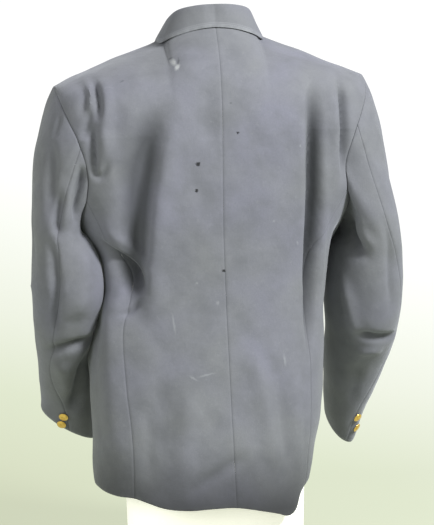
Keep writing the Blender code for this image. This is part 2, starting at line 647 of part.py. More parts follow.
def collar_half(side):
    """Profiles of the collar from the centre back to one of its ends: stand, rounded crest and fall. The fall hangs
    less low where its shoulder is higher than the left one."""
    mirror = np.array([side, 1.0, 1.0])
    stations = np.linspace(0, 2, COLLAR_COLUMNS_HALF)
    profiles = []
    for s in stations:
        stand, lean, out, drop = (float(smooth(s, COLLAR["station"], COLLAR[c])) for c in COLLAR_COLUMNS[1:])
        if s <= 1:
            turn = np.pi / 2 * s
            x = NECK_HALF * np.sin(turn)
            seam = np.array([x, NECK_ROUND * NECK_HALF * np.cos(turn), float(ridge_height(side * x))])
            away = unit(np.array([np.sin(turn), np.cos(turn), 0.0]))
        else:
            z = NECK_SIDE_HEIGHT + (GORGE_HEIGHT + 0.001 - NECK_SIDE_HEIGHT) * (s - 1)
            seam = front_point(float(side * roll_line(1, z)), z) * mirror
            turn = (s - 1)
            away = unit(np.array([1.0, -0.25 * turn, -0.10 * turn]))
        seam = seam + np.array([-1.2 * SEAM_GAP if s > 1 else 0.0, 0.0, 1.4 * SEAM_GAP])
        crest = seam + np.array([0.0, 0.0, stand]) - away * lean
        reach = float((crest + away * out)[0])
        drop = drop - float(ridge_height(side * reach) - ridge_height(reach))
        fall = crest + away * out - np.array([0.0, 0.0, drop])
        round_out = away * 0.0030
        up = np.array([0.0, 0.0, 0.0026])
        points = [
            seam,
            seam + (crest - seam) * 0.55,
            crest,
            crest + round_out * 0.9 + up,
            crest + round_out * 2.1 + up * 0.3,
            crest + round_out * 2.1 + up * 0.3 + (fall - crest - round_out) * 0.45,
            fall + round_out * 1.0,
        ]
        points = np.array(points)
        if s > 1:
            here = front_point(side * points[3:, 0], points[3:, 2])
            facing = normals_of(front_point, side * points[3:, 0], points[3:, 2], 0.001, 0.001, np.array([0.0, -1.0, 0.1]))
            clear = here[:, 1] - (WALL + LAYER_GAP) / np.maximum(-facing[:, 1], 0.4)
            points[3:, 1] = np.minimum(points[3:, 1], clear)
        profiles.append(points * mirror)
    return np.array(profiles)


def build_collar():
    """The turned-down collar in one wall: its stand rises from the neck seam and its fall drops outside."""
    half = collar_half(1)
    grid = np.concatenate([collar_half(-1)[:0:-1], half]).transpose(1, 0, 2)
    along = np.gradient(grid, axis=1)
    down = np.gradient(grid, axis=0)
    normals = unit(np.cross(down, along))
    if normals[-1, len(half) - 1, 1] < 0:
        normals = -normals
    return wall("collar", settle(grid), normals, CLOTH)


def arm_ring(side, angle, w):
    """The arm's surface at an angle from outwards towards the back, and a share w of the way down its rings."""
    arm = ARMS[side_name(side)]
    knots = np.linspace(0, 1, len(arm["x"]))

    def centre(t):
        return np.stack([smooth(t, knots, arm["x"]), smooth(t, knots, arm["y"]), smooth(t, knots, arm["height"])], -1)

    here = centre(w)
    down = unit(centre(np.clip(w + 0.02, 0, 1)) - centre(np.clip(w - 0.02, 0, 1)))
    across = unit(np.array([1.0, 0.0, 0.0]) - down[..., :1] * down)
    behind = np.cross(across, down)
    behind = behind * np.where(behind[..., 1:2] < 0, -1.0, 1.0)
    turn = np.radians(smooth(w, knots, arm["turn"]))[..., None]
    wide = across * np.cos(turn) - behind * np.sin(turn)
    long = behind * np.cos(turn) + across * np.sin(turn)
    c, s = np.cos(np.radians(angle)), np.sin(np.radians(angle))
    half_wide, half_long = smooth(w, knots, arm["across"]), smooth(w, knots, arm["deep"])
    reach = (np.abs(c / half_wide) ** ARM_CORNER + np.abs(s / half_long) ** ARM_CORNER) ** (-1 / ARM_CORNER)
    point = here + (reach * c)[..., None] * wide + (reach * s)[..., None] * long
    raised = smooth(w, knots, arm["slant"]) * reach * c + smooth(w, knots, arm["rise"]) * reach * s
    point = point - raised[..., None] * down
    return point * np.array([side, 1.0, 1.0])


def armhole_loop(side, angle):
    """The armhole for each angle of the sleeve, a seam gap off the panels, on the worn and settled body."""
    turn = (np.asarray(angle, float) + 180) % 360 - 180
    under = np.clip((np.abs(turn) - 120) / 120, 0, 0.5)
    k = np.where(turn >= 0, under, 1 - under)
    column = np.where(turn >= 0, smooth(np.abs(turn), HEAD["angle"], HEAD["back_height"]),
                      smooth(np.abs(turn), HEAD["angle"], HEAD["front_height"]))
    x = side * (armhole_x(column) + ARMHOLE_GAP)
    edge = np.where((turn >= 0)[..., None], body_surface(panel_point, x, column)[0],
                    body_surface(front_point, x, column)[0])
    name = side_name(side)
    start = angle_of(panel_point(seam_x(f"back_{name}", UNDERARM_HEIGHT), UNDERARM_HEIGHT))
    end = angle_of(front_point(seam_x(f"front_{name}", UNDERARM_HEIGHT), UNDERARM_HEIGHT))
    dip = underarm_height(k) + ARMHOLE_GAP
    pit = body_surface(ring_point, start + (end - start) * k, dip)[0]
    return np.where((np.abs(turn) > 120)[..., None], pit, edge)


LOOP_ANGLES = np.linspace(-180, 180, 145)
LOOPS = {}


def armhole_at(side, angle):
    """The armhole's loop, worked out once for each side and read between its places."""
    if side not in LOOPS:
        LOOPS[side] = armhole_loop(side, LOOP_ANGLES)
    turn = (angle + 180) % 360 - 180
    return np.stack([np.interp(turn, LOOP_ANGLES, LOOPS[side][:, axis]) for axis in range(3)], -1)


def sleeve_point(side, angle, v):
    """The smooth sleeve: a cap from the armhole to the first arm ring, then the arm's rings to the cuff."""
    angle, v = np.broadcast_arrays(np.asarray(angle, float), np.asarray(v, float))
    w = np.clip((v - CAP_SHARE) / (1 - CAP_SHARE), 0, 1)
    arm = arm_ring(side, angle, w)
    start = armhole_at(side, angle)
    end = arm_ring(side, angle, np.zeros_like(v))
    length = np.linalg.norm(end - start, axis=-1, keepdims=True)
    leave = unit(np.array([side * CAP_OUT, 0.0, -1.0])) * length
    arrive = unit(arm_ring(side, angle, np.full_like(v, 0.03)) - end) * length
    t = np.clip(v / CAP_SHARE, 0, 1)[..., None]
    cap = (start * (1 + 2 * t) * (1 - t) ** 2 + leave * t * (1 - t) ** 2
           + end * t * t * (3 - 2 * t) - arrive * t * t * (1 - t))
    return np.where((v < CAP_SHARE)[..., None], cap, arm)


def hindarm_angle(side, v):
    """Angle of the hindarm seam at a share of the way down the sleeve."""
    arm = ARMS[side_name(side)]
    places = np.concatenate([[0.0], np.linspace(CAP_SHARE, 1, len(arm["x"]))])
    return smooth(v, places, np.concatenate([[HINDARM_START[side_name(side)]], arm["hindarm"]]))


def sleeve_fold_paths(side):
    """Each fold's line on the sleeve, and the direction in which its back width lies."""
    paths = []
    for fold in SLEEVE_FOLDS:
        if fold[0] == side_name(side):
            angle, v = three_places(fold[1:4], 9)
            backwards = unit(sleeve_point(side, angle[4] + 3, v[4]) - sleeve_point(side, angle[4] - 3, v[4]))
            paths.append((sleeve_point(side, angle, v), backwards, *fold[4:]))
    return paths


def build_sleeve(side):
    """The two pieces of a sleeve, split at the hindarm and forearm seams."""
    name = side_name(side)
    paths = sleeve_fold_paths(side)

    def smooth_normals(a, v):
        centre = sleeve_point(side, a + 180, v)
        return normals_of(lambda p, q: sleeve_point(side, p, q), a, v, 1.0, 0.004, sleeve_point(side, a, v) - centre)

    def folded(a, v):
        base = sleeve_point(side, a, v)
        return base - smooth_normals(a, v) * fold_depth(base, paths)[..., None]

    v = np.linspace(0, 1, SLEEVE_ROWS + 1)[:, None]
    hindarm = hindarm_angle(side, v)
    forearm = np.full_like(hindarm, FOREARM_ANGLE)
    inset = np.degrees(SEAM_GAP * 0.75 / 0.045)
    pieces = (
        ("top_sleeve", forearm, hindarm, TOP_SLEEVE_COLUMNS),
        ("under_sleeve", hindarm, forearm + 360, UNDER_SLEEVE_COLUMNS),
    )
    for piece, start, end, columns in pieces:
        a = start + inset + (end - start - 2 * inset) * np.linspace(0, 1, columns + 1)[None, :]
        vv = np.broadcast_to(v, a.shape)
        outer = folded(a, vv)
        normals = normals_of(folded, a, np.clip(vv, 0.004, 0.996), 1.0, 0.004, smooth_normals(a, vv))
        tangent = sleeve_point(side, a[0] + 1, vv[0]) - sleeve_point(side, a[0] - 1, vv[0])
        radial = unit(np.cross(tangent, np.array([1.0, 0.0, 0.0])))
        facing = (radial * (outer[0] - sleeve_point(side, a[0] + 180, vv[0]))).sum(-1)
        normals[0] = radial * np.where(facing < 0, -1.0, 1.0)[:, None]
        wall(f"{piece}_{name}", outer, normals, CLOTH)
    for at, place in zip(CUFF_BUTTONS[name], ("upper", "lower")):
        a, v = (np.array([number]) for number in at)
        normal = normals_of(folded, a, np.minimum(v, 0.985), 3.0, 0.01, smooth_normals(a, v))[0]
        build_button(f"cuff_button_{place}_{name}", folded(a, v)[0], normal, CUFF_BUTTON_RADIUS)


def build_button(name, at, normal, radius):
    """A shanked button turned about its axis: shank, flat back, edge and dome."""
    normal = unit(np.asarray(normal, float))
    across = unit(np.cross(normal, np.array([0.0, 0.0, 1.0])))
    other = np.cross(normal, across)
    base = BUTTON_SEAT
    profile = [(radius * 0.3, base), (radius * 0.3, base + BUTTON_SHANK), (radius, base + BUTTON_SHANK)]
    profile.append((radius, base + BUTTON_SHANK + BUTTON_EDGE))
    for t in (0.35, 0.7):
        rise = BUTTON_DOME * radius * np.sin(np.pi / 2 * t)
        profile.append((radius * np.cos(np.pi / 2 * t), base + BUTTON_SHANK + BUTTON_EDGE + rise))
    turn = np.linspace(0, 2 * np.pi, BUTTON_SIDES, endpoint=False)
    verts = []
    for r, h in profile:
        verts.append(at + h * normal + r * (np.cos(turn)[:, None] * across + np.sin(turn)[:, None] * other))
    verts = np.concatenate(verts + [at[None] + (base + BUTTON_SHANK + BUTTON_EDGE + BUTTON_DOME * radius) * normal])
    n = BUTTON_SIDES
    faces = [list(range(n))[::-1]]
    for ring in range(len(profile) - 1):
        for i in range(n):
            j = (i + 1) % n
            faces.append([ring * n + i, ring * n + j, (ring + 1) * n + j, (ring + 1) * n + i])
    last = (len(profile) - 1) * n
    faces += [[last + i, last + (i + 1) % n, last + n] for i in range(n)]
    return solid(name, verts, faces, GILT, sharp=45.0)


def build_front_buttons():
    """The front buttons on the left front, in a line down the centre."""
    for number, z in enumerate(BUTTON_HEIGHTS, start=1):
        at, normal = body_surface(front_point, np.array([0.0]), np.array([z]), lift=overlap_lift(1))
        build_button(f"front_button_{number}", at[0], normal[0], FRONT_BUTTON_RADIUS)


def build_form():
    """The dress form: torso rings, shoulders kept under the cloth, and a short neck, closed and flat at the foot."""
    turn = np.linspace(0, 2 * np.pi, FORM_SIDES, endpoint=False)
    heights = np.concatenate([np.linspace(0, FORM["height"][-1], 17), (0.740, 0.753, 0.765, 0.776, 0.786, 0.795)])
    rings = []
    for z in heights:
        corner = smooth(z, FORM["height"], FORM["corner"])
        wide = smooth(z, FORM["height"], FORM["wide"])
        depth = np.where(np.cos(turn) > 0, smooth(z, FORM["height"], FORM["back"]),
                         smooth(z, FORM["height"], FORM["front"]))
        if z > FORM["height"][-1]:
            rise = (z - FORM["height"][-1]) / (0.800 - FORM["height"][-1])
            wide = FORM_NECK_RADIUS + (wide - FORM_NECK_RADIUS) * (1 - rise ** FORM_SHOULDER_ROUNDING)
            depth = FORM_NECK_DEPTH + (depth - FORM_NECK_DEPTH) * (1 - rise ** 0.9)
            corner = corner + (2.0 - corner) * rise ** 0.5
        s, c = np.sin(turn), np.cos(turn)
        reach = (np.abs(s / wide) ** corner + np.abs(c / depth) ** corner) ** (-1 / corner)
        rings.append(np.stack([reach * s, reach * c, np.full_like(s, z)], -1))
    for z, radius in ((0.803, FORM_NECK_RADIUS * 0.985), (FORM_NECK_HEIGHT - 0.004, FORM_NECK_RADIUS * 0.97),
                      (FORM_NECK_HEIGHT, FORM_NECK_RADIUS * 0.90)):
        deep = radius * FORM_NECK_DEPTH / FORM_NECK_RADIUS
        rings.append(np.stack([radius * np.sin(turn), deep * np.cos(turn), np.full_like(turn, z)], -1))
    verts = settle(np.concatenate(rings))
    n = FORM_SIDES
    faces = [list(range(n)), [(len(rings) - 1) * n + i for i in range(n)][::-1]]
    for ring in range(len(rings) - 1):
        for i in range(n):
            j = (i + 1) % n
            faces.append([ring * n + i, (ring + 1) * n + i, (ring + 1) * n + j, ring * n + j])
    return solid("dress_form", verts, faces, STOCKINETTE, sharp=60.0)


def start_afresh():
    for obj in list(bpy.data.objects):
        bpy.data.objects.remove(obj)
    parts = bpy.data.collections.new(COLLECTION)
    bpy.context.scene.collection.children.link(parts)
    return parts


PARTS = start_afresh()
CLOTH = finish("navy wool serge", (0.055, 0.060, 0.072), 0.85)
STOCKINETTE = finish("white stockinette", (0.86, 0.85, 0.80), 0.8)
GILT = finish("gilt brass", (0.83, 0.58, 0.22), 0.28, 1.0)

for SIDE in (1, -1):
    build_back(SIDE)
    build_side(SIDE)
    build_front(SIDE)
    build_lapel(SIDE)
    build_sleeve(SIDE)
build_front_buttons()
build_collar()
build_form()
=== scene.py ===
"""A faded navy uniform jacket worn by a white limbless dress form, seen from behind.

Metres, +Z up, in the CAD model's frame. The jacket's front faces -Y, its back +Y, and the wearer's left is +X.
Every cloth piece is a thin shell whose outer points come from one garment surface, so neighbours share their seams.
"""
import bpy
import numpy as np
from mathutils import Matrix


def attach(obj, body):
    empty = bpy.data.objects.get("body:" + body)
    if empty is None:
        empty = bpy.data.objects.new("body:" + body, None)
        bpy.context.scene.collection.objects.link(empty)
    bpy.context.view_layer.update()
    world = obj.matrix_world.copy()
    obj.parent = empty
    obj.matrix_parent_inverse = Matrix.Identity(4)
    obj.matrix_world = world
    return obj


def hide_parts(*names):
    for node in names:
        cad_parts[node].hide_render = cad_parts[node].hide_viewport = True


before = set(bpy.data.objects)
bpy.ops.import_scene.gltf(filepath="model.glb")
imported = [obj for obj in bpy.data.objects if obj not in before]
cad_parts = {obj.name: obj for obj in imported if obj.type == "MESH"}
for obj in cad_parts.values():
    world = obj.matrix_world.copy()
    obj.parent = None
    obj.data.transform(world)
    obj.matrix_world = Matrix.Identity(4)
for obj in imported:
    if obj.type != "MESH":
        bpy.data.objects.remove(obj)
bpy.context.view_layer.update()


# The dress form: a limbless torso of moulded papier mache, padded thinly and covered in white cotton stockinette.
# It is drawn on over the head as one tube, so it has no side seam. It stands flat on its foot under the jacket.
FORM_COLUMNS = ("height", "wide", "back", "front", "corner")
FORM_RINGS = (
    (0.000, 0.134, 0.092, 0.096, 2.3),
    (0.090, 0.137, 0.095, 0.098, 2.3),
    (0.200, 0.140, 0.095, 0.101, 2.3),
    (0.330, 0.131, 0.088, 0.098, 2.3),
    (0.420, 0.128, 0.087, 0.098, 2.3),
    (0.500, 0.148, 0.094, 0.106, 2.3),
    (0.580, 0.166, 0.101, 0.113, 2.4),
    (0.640, 0.174, 0.103, 0.112, 2.4),
    (0.690, 0.172, 0.098, 0.102, 2.4),
    (0.725, 0.164, 0.087, 0.086, 2.4),
)
FORM_SHOULDER = 0.725       # above this the shoulders run in to the neck
FORM_SHOULDER_END = 0.800
FORM_NECK_RADIUS = 0.054
FORM_NECK_DEPTH = 0.0475
FORM_NECK_HEIGHT = 0.822
FORM_NECK_EDGE = 0.006      # rounding of the neck's top
FORM_INSET = 0.0004         # keeps the round form inside the CAD form's flats
FORM_GRID = (190, 160)      # rings and places round each
FORM_EDGE_RINGS = 6         # of which these round the neck's top
TILT = 0.040                # the left shoulder sits lower than the right
TILT_FADES = (0.26, 0.50)


def table(names, rows):
    """The rows of a table as one array for each named column."""
    return dict(zip(names, np.array(rows, float).T))


def smooth(at, knots, values):
    """A cubic Hermite curve through the knots, with slopes from the neighbouring knots, level past the ends."""
    slope = np.gradient(values, knots, axis=0)
    at = np.clip(at, knots[0], knots[-1])
    i = np.clip(np.searchsorted(knots, at, side="right") - 1, 0, len(knots) - 2)
    span = knots[i + 1] - knots[i]
    t = (at - knots[i]) / span
    t, span = (a.reshape(a.shape + (1,) * (values.ndim - 1)) for a in (t, span))
    rise = values[i] * (1 + 2 * t) * (1 - t) ** 2 + values[i + 1] * t * t * (3 - 2 * t)
    return rise + span * (slope[i] * t * (1 - t) ** 2 - slope[i + 1] * t * t * (1 - t))


def ease(at, low, high):
    """0 below low, 1 above high and an S curve between."""
    t = np.clip((np.asarray(at, float) - low) / (high - low), 0, 1)
    return t * t * (3 - 2 * t)


def unit(vectors):
    """The vectors at length 1."""
    return vectors / np.maximum(np.linalg.norm(vectors, axis=-1, keepdims=True), 1e-12)


def settle(points):
    """The tilt of the worn jacket: a shear that lowers the left side and lifts the right."""
    drop = TILT * ease(points[..., 2], *TILT_FADES) * points[..., 0]
    return points - drop[..., None] * np.array([0.0, 0.0, 1.0])


def grid_faces(rows, columns, closed=False):
    """Quads between the rows and columns of a grid. A closed grid joins its last column to its first."""
    index = np.arange(rows * columns).reshape(rows, columns)
    if closed:
        index = np.concatenate([index, index[:, :1]], axis=1)
    return np.stack([index[:-1, :-1], index[:-1, 1:], index[1:, 1:], index[1:, :-1]], -1).reshape(-1, 4)


def put_mesh(name, verts, faces, material, sharp=50.0):
    """A closed mesh object at the origin. Its faces are turned outwards by the sign of the volume they enclose."""
    mesh = bpy.data.meshes.new(name)
    mesh.from_pydata(verts.tolist(), [], faces if isinstance(faces, list) else faces.tolist())
    mesh.calc_loop_triangles()
    corners = np.empty(len(mesh.loop_triangles) * 3, np.int32)
    mesh.loop_triangles.foreach_get("vertices", corners)
    corners = verts[corners.reshape(-1, 3)]
    if np.einsum("ij,ij->i", corners[:, 0], np.cross(corners[:, 1], corners[:, 2])).sum() < 0:
        mesh.flip_normals()
    mesh.shade_smooth()
    mesh.set_sharp_from_angle(angle=np.radians(sharp))
    mesh.materials.append(material)
    piece = bpy.data.objects.new(name, mesh)
    bpy.context.scene.collection.objects.link(piece)
    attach(piece, "root")
    return piece


def add(tree, kind, sets=None, feeds=None, **traits):
    """A node with its traits, the values of its sockets, and links into its sockets from other nodes' outputs."""
    made = tree.nodes.new(kind)
    for trait, value in traits.items():
        setattr(made, trait, value)
    for socket, value in (sets or {}).items():
        made.inputs[socket].default_value = value
    for socket, output in (feeds or {}).items():
        tree.links.new(output, made.inputs[socket])
    return made


def linear(code):
    """An sRGB hex colour as linear red, green, blue and alpha."""
    parts = [int(code[i:i + 2], 16) / 255 for i in (1, 3, 5)]
    return (*(c / 12.92 if c <= 0.04045 else ((c + 0.055) / 1.055) ** 2.4 for c in parts), 1.0)


def new_material(name, **finish):
    """A material with a Principled shader, whose own sockets hold the values that are the same all over."""
    material = bpy.data.materials.new(name)
    material.use_nodes = True
    shader = material.node_tree.nodes["Principled BSDF"]
    for socket, value in finish.items():
        shader.inputs[socket.replace("_", " ")].default_value = value
    return material, material.node_tree, shader


def stockinette():
    """Knitted white cotton: matt, slightly warm, with fine upright ribs of stitches and a little soiling. A faint
    glow of its own paints extra light on it, though it is no lamp."""
    rib = 0.0022            # real stitches are 1.2 mm wide, drawn coarser to show
    # The emission paints extra light on the form: it glows faintly, though it is no lamp.
    material, tree, shader = new_material("white cotton stockinette", Roughness=0.9, Sheen_Weight=0.25,
                                          Sheen_Roughness=0.5, Specular_IOR_Level=0.25,
                                          Emission_Strength=0.36, Emission_Color=linear("#FFFDF2"))
    place = add(tree, "ShaderNodeTexCoord").outputs["Object"]
    soil = add(tree, "ShaderNodeTexNoise", {"Scale": 7.0, "Detail": 3.0}, {"Vector": place})
    tone = add(tree, "ShaderNodeMix", {"A": linear("#FFFFF8"), "B": linear("#FBF9F0")},
               {"Factor": soil.outputs["Fac"]}, data_type="RGBA")
    tree.links.new(tone.outputs["Result"], shader.inputs["Base Color"])
    stitches = add(tree, "ShaderNodeTexVoronoi", {"Scale": 1 / rib}, {"Vector": place})
    relief = add(tree, "ShaderNodeBump", {"Strength": 0.35, "Distance": 0.0003},
                 {"Height": stitches.outputs["Distance"]})
    tree.links.new(relief.outputs["Normal"], shader.inputs["Normal"])
    return material


def form_surface(height, turn):
    """The torso: superellipse rings from the table, whose half sizes run in to an oval neck above the shoulders."""
    form = table(FORM_COLUMNS, FORM_RINGS)
    z = np.minimum(height, FORM_SHOULDER_END)
    corner, wide = (smooth(z, form["height"], form[c]) for c in ("corner", "wide"))
    depth = np.where(np.cos(turn) > 0, smooth(z, form["height"], form["back"]),
                     smooth(z, form["height"], form["front"]))
    rise = np.clip((z - FORM_SHOULDER) / (FORM_SHOULDER_END - FORM_SHOULDER), 0, 1)
    wide = FORM_NECK_RADIUS + (wide - FORM_NECK_RADIUS) * (1 - rise ** 1.1)
    depth = FORM_NECK_DEPTH + (depth - FORM_NECK_DEPTH) * (1 - rise ** 0.9)
    corner = corner + (2.0 - corner) * rise ** 0.5
    s, c = np.sin(turn), np.cos(turn)
    reach = (np.abs(s / wide) ** corner + np.abs(c / depth) ** corner) ** (-1 / corner) - FORM_INSET
    edge = np.clip((height - FORM_NECK_HEIGHT + FORM_NECK_EDGE) / FORM_NECK_EDGE, 0, 1)
    reach = reach - FORM_NECK_EDGE * (1 - np.sqrt(1 - edge ** 2))
    return settle(np.stack([reach * s, reach * c, height], -1))


rows, columns = FORM_GRID
edge_turn = np.pi / 2 * np.arange(1, FORM_EDGE_RINGS + 1) / FORM_EDGE_RINGS
levels = np.concatenate([np.linspace(0, FORM_NECK_HEIGHT - FORM_NECK_EDGE, rows - FORM_EDGE_RINGS),
                         FORM_NECK_HEIGHT - FORM_NECK_EDGE * (1 - np.sin(edge_turn))])
rings = form_surface(*np.broadcast_arrays(levels[:, None], 2 * np.pi * np.arange(columns)[None, :] / columns))
caps = [list(range(columns)), list(range((rows - 1) * columns, rows * columns))[::-1]]
dress_form = put_mesh("form_cover", rings.reshape(-1, 3), grid_faces(rows, columns, True).tolist() + caps,
                      stockinette())
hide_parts("dress_form")


# The body of the jacket: two backs, two side panels and two fronts of a faded navy wool twill, cut apart and joined
# by plain pressed seams. Wool serge has a fine diagonal rib and a dry, slightly hairy face that has greyed with age.
SHELL = 0.0016              # cloth with what backs it
SEAM_GAP = 0.00012
PIT_HEIGHT = 0.514
UNDERARM_HEIGHT = 0.550
BLADE_HEIGHT = 0.640
SHOULDER_HEIGHT = 0.731
SHOULDER_HALF = 0.240
NECK_HEIGHT = 0.806
NECK_SIDE_HEIGHT = 0.801
NECK_HALF = 0.072
NECK_ROUND = 0.90
RIDGE_ROUNDING = 2.7
PAD_ROUNDING = 2.6
BODY_COLUMNS = ("height", "left", "right", "back", "front", "corner")
BODY_RINGS = (
    (0.070, 0.184, 0.132, 0.128, 0.134, 2.7),
    (0.130, 0.186, 0.144, 0.125, 0.131, 2.6),
    (0.190, 0.187, 0.157, 0.121, 0.129, 2.6),
    (0.260, 0.189, 0.167, 0.114, 0.125, 2.6),
    (0.330, 0.187, 0.171, 0.108, 0.121, 2.6),
    (0.385, 0.176, 0.171, 0.106, 0.121, 2.6),
    (0.425, 0.169, 0.175, 0.107, 0.122, 2.6),
    (0.470, 0.180, 0.186, 0.110, 0.125, 2.6),
    (0.514, 0.206, 0.204, 0.115, 0.129, 2.7),
    (0.550, 0.222, 0.222, 0.118, 0.131, 2.8),
    (0.600, 0.233, 0.233, 0.121, 0.132, 3.0),
    (0.640, 0.241, 0.241, 0.122, 0.132, 3.3),
)
SEAM_COLUMNS = ("height", "centre_back", "back_left", "back_right", "front_left", "front_right")
SEAM_LINES = (
    (0.070, -0.0145, 0.1355, -0.1200, 0.158, -0.115),
    (0.182, -0.0110, 0.1357, -0.1330, 0.160, -0.136),
    (0.275, -0.0085, 0.1430, -0.1370, 0.163, -0.146),
    (0.350, -0.0065, 0.1450, -0.1375, 0.158, -0.149),
    (0.426, -0.0040, 0.1380, -0.1420, 0.138, -0.153),
    (0.470, -0.0025, 0.1560, -0.1500, 0.158, -0.163),
    (0.510, -0.0015, 0.1760, -0.1740, 0.180, -0.180),
    (0.550, -0.0010, 0.1970, -0.1970, 0.197, -0.197),
)
ARMHOLE_COLUMNS = ("height", "edge")
ARMHOLE_EDGE = (
    (0.550, 0.197),
    (0.580, 0.195),
    (0.610, 0.200),
    (0.640, 0.210),
    (0.670, 0.222),
    (0.700, 0.233),
    (0.731, 0.240),
)
SHOULDER_COLUMNS = ("x", "left", "right")
SHOULDER_LINE = (
    (0.072, 0.8010, 0.8010),
    (0.090, 0.7915, 0.7945),
    (0.120, 0.7805, 0.7820),
    (0.160, 0.7655, 0.7650),
    (0.200, 0.7505, 0.7485),
    (0.225, 0.7395, 0.7370),
    (0.240, 0.7310, 0.7310),
)
HEM_MIDDLE = 0.100
HEM_COLUMNS = ("angle", "height")
HEM_LINE = (
    (-180.0, 0.1020),
    (-120.0, 0.1100),
    (-90.0, 0.1190),
    (-72.0, 0.1190),
    (-62.0, 0.1155),
    (-55.0, 0.1070),
    (-51.5, 0.0965),
    (-49.0, 0.0830),
    (-46.0, 0.0755),
    (-41.0, 0.0720),
    (-34.0, 0.0765),
    (-25.0, 0.0815),
    (-6.0, 0.0890),
    (12.0, 0.0885),
    (25.0, 0.0870),
    (40.0, 0.0920),
    (46.0, 0.0980),
    (53.0, 0.1045),
    (62.0, 0.1065),
    (70.0, 0.1105),
    (80.0, 0.1165),
    (90.0, 0.1190),
    (120.0, 0.1120),
    (180.0, 0.1020),
)

# Folds and creases through three places each: X and height on the back and the front, and on a ring the angle from
# the centre back towards the left, with the height. The widths lie towards the wearer's right and left of the line,
# and on a ring towards smaller and larger angles. Depth is inwards, and a ridge is negative. The columns are face,
# start, middle, end, right width, left width and depth.
BODY_FOLDS = (
    # The long folds that hang from the blades, with the crests beside them.
    ("back", (-0.134, 0.745), (-0.1375, 0.520), (-0.1325, 0.280), 0.018, 0.008, 0.024),
    ("back", (-0.152, 0.720), (-0.156, 0.500), (-0.151, 0.280), 0.011, 0.010, -0.007),
    ("back", (0.086, 0.710), (0.124, 0.540), (0.124, 0.345), 0.018, 0.024, 0.021),
    ("back", (0.058, 0.700), (0.097, 0.520), (0.100, 0.350), 0.018, 0.012, -0.006),
    ("back", (0.150, 0.580), (0.163, 0.380), (0.160, 0.130), 0.020, 0.022, -0.008),
    # Crushed cloth beside the armholes.
    ("back", (-0.183, 0.735), (-0.187, 0.650), (-0.189, 0.555), 0.010, 0.006, 0.012),
    ("back", (-0.172, 0.720), (-0.175, 0.640), (-0.174, 0.565), 0.009, 0.010, -0.004),
    ("back", (-0.158, 0.670), (-0.160, 0.600), (-0.158, 0.530), 0.010, 0.010, 0.003),
    ("back", (0.209, 0.742), (0.199, 0.704), (0.208, 0.670), 0.006, 0.009, 0.0045),
    ("back", (0.187, 0.745), (0.180, 0.702), (0.177, 0.660), 0.005, 0.008, 0.0070),
    ("back", (0.172, 0.735), (0.169, 0.695), (0.167, 0.650), 0.010, 0.007, -0.004),
    ("back", (0.194, 0.740), (0.190, 0.705), (0.191, 0.670), 0.006, 0.006, -0.003),
    ("back", (0.188, 0.692), (0.197, 0.663), (0.203, 0.638), 0.006, 0.006, 0.0045),
    ("back", (0.190, 0.672), (0.188, 0.625), (0.187, 0.582), 0.005, 0.008, 0.0080),
    ("back", (0.194, 0.612), (0.178, 0.585), (0.163, 0.622), 0.006, 0.006, 0.0045),
    ("back", (0.175, 0.700), (0.172, 0.650), (0.172, 0.595), 0.009, 0.008, -0.0045),
    ("back", (0.155, 0.700), (0.150, 0.630), (0.146, 0.550), 0.013, 0.013, 0.003),
    # Slack over the waist and towards the hem.
    ("back", (0.017, 0.730), (0.018, 0.670), (0.018, 0.600), 0.012, 0.014, 0.003),
    ("back", (0.120, 0.408), (0.135, 0.382), (0.150, 0.382), 0.005, 0.006, 0.0045),
    ("back", (0.140, 0.425), (0.150, 0.400), (0.158, 0.375), 0.009, 0.009, -0.003),
    ("back", (0.066, 0.105), (0.014, 0.140), (-0.038, 0.172), 0.010, 0.010, 0.0045),
    ("back", (0.085, 0.330), (0.092, 0.230), (0.088, 0.130), 0.020, 0.016, 0.004),
    ("back", (0.040, 0.310), (0.060, 0.190), (0.066, 0.090), 0.018, 0.018, -0.005),
    ("back", (-0.040, 0.350), (-0.062, 0.230), (-0.085, 0.110), 0.014, 0.016, -0.0045),
    ("back", (-0.078, 0.310), (-0.092, 0.210), (-0.098, 0.110), 0.012, 0.014, 0.0045),
    ("back", (-0.110, 0.320), (-0.112, 0.220), (-0.108, 0.120), 0.010, 0.010, -0.003),
    ("back", (0.115, 0.260), (0.112, 0.190), (0.118, 0.120), 0.012, 0.012, 0.003),
    # The underarm flap on the left, and its like on the right.
    ("ring", (72.0, 0.505), (62.0, 0.455), (50.0, 0.412), 0.006, 0.017, 0.017),
    ("ring", (66.0, 0.520), (57.0, 0.472), (47.0, 0.430), 0.008, 0.007, -0.004),
    ("ring", (75.0, 0.400), (80.0, 0.330), (84.0, 0.260), 0.018, 0.018, 0.003),
    ("ring", (97.0, 0.385), (98.0, 0.328), (98.0, 0.270), 0.016, 0.016, -0.0035),
    ("ring", (-70.0, 0.510), (-84.0, 0.465), (-92.0, 0.430), 0.016, 0.016, 0.008),
    ("ring", (-80.0, 0.410), (-84.0, 0.330), (-88.0, 0.250), 0.018, 0.018, 0.003),
    # The hidden front, with the same slack.
    ("front", (0.100, 0.580), (0.090, 0.480), (0.055, 0.410), 0.016, 0.016, 0.006),
    ("front", (-0.100, 0.580), (-0.095, 0.480), (-0.055, 0.410), 0.016, 0.016, 0.006),
    ("front", (0.125, 0.350), (0.120, 0.240), (0.115, 0.130), 0.018, 0.018, 0.007),
    ("front", (-0.115, 0.350), (-0.113, 0.240), (-0.105, 0.130), 0.018, 0.018, 0.007),
    ("front", (0.190, 0.715), (0.188, 0.640), (0.184, 0.565), 0.010, 0.010, 0.006),
    ("front", (-0.190, 0.715), (-0.188, 0.640), (-0.184, 0.565), 0.010, 0.010, 0.006),
    ("front", (0.165, 0.700), (0.163, 0.620), (0.158, 0.545), 0.012, 0.012, -0.004),
    ("front", (-0.165, 0.700), (-0.163, 0.620), (-0.158, 0.545), 0.012, 0.012, -0.004),
)

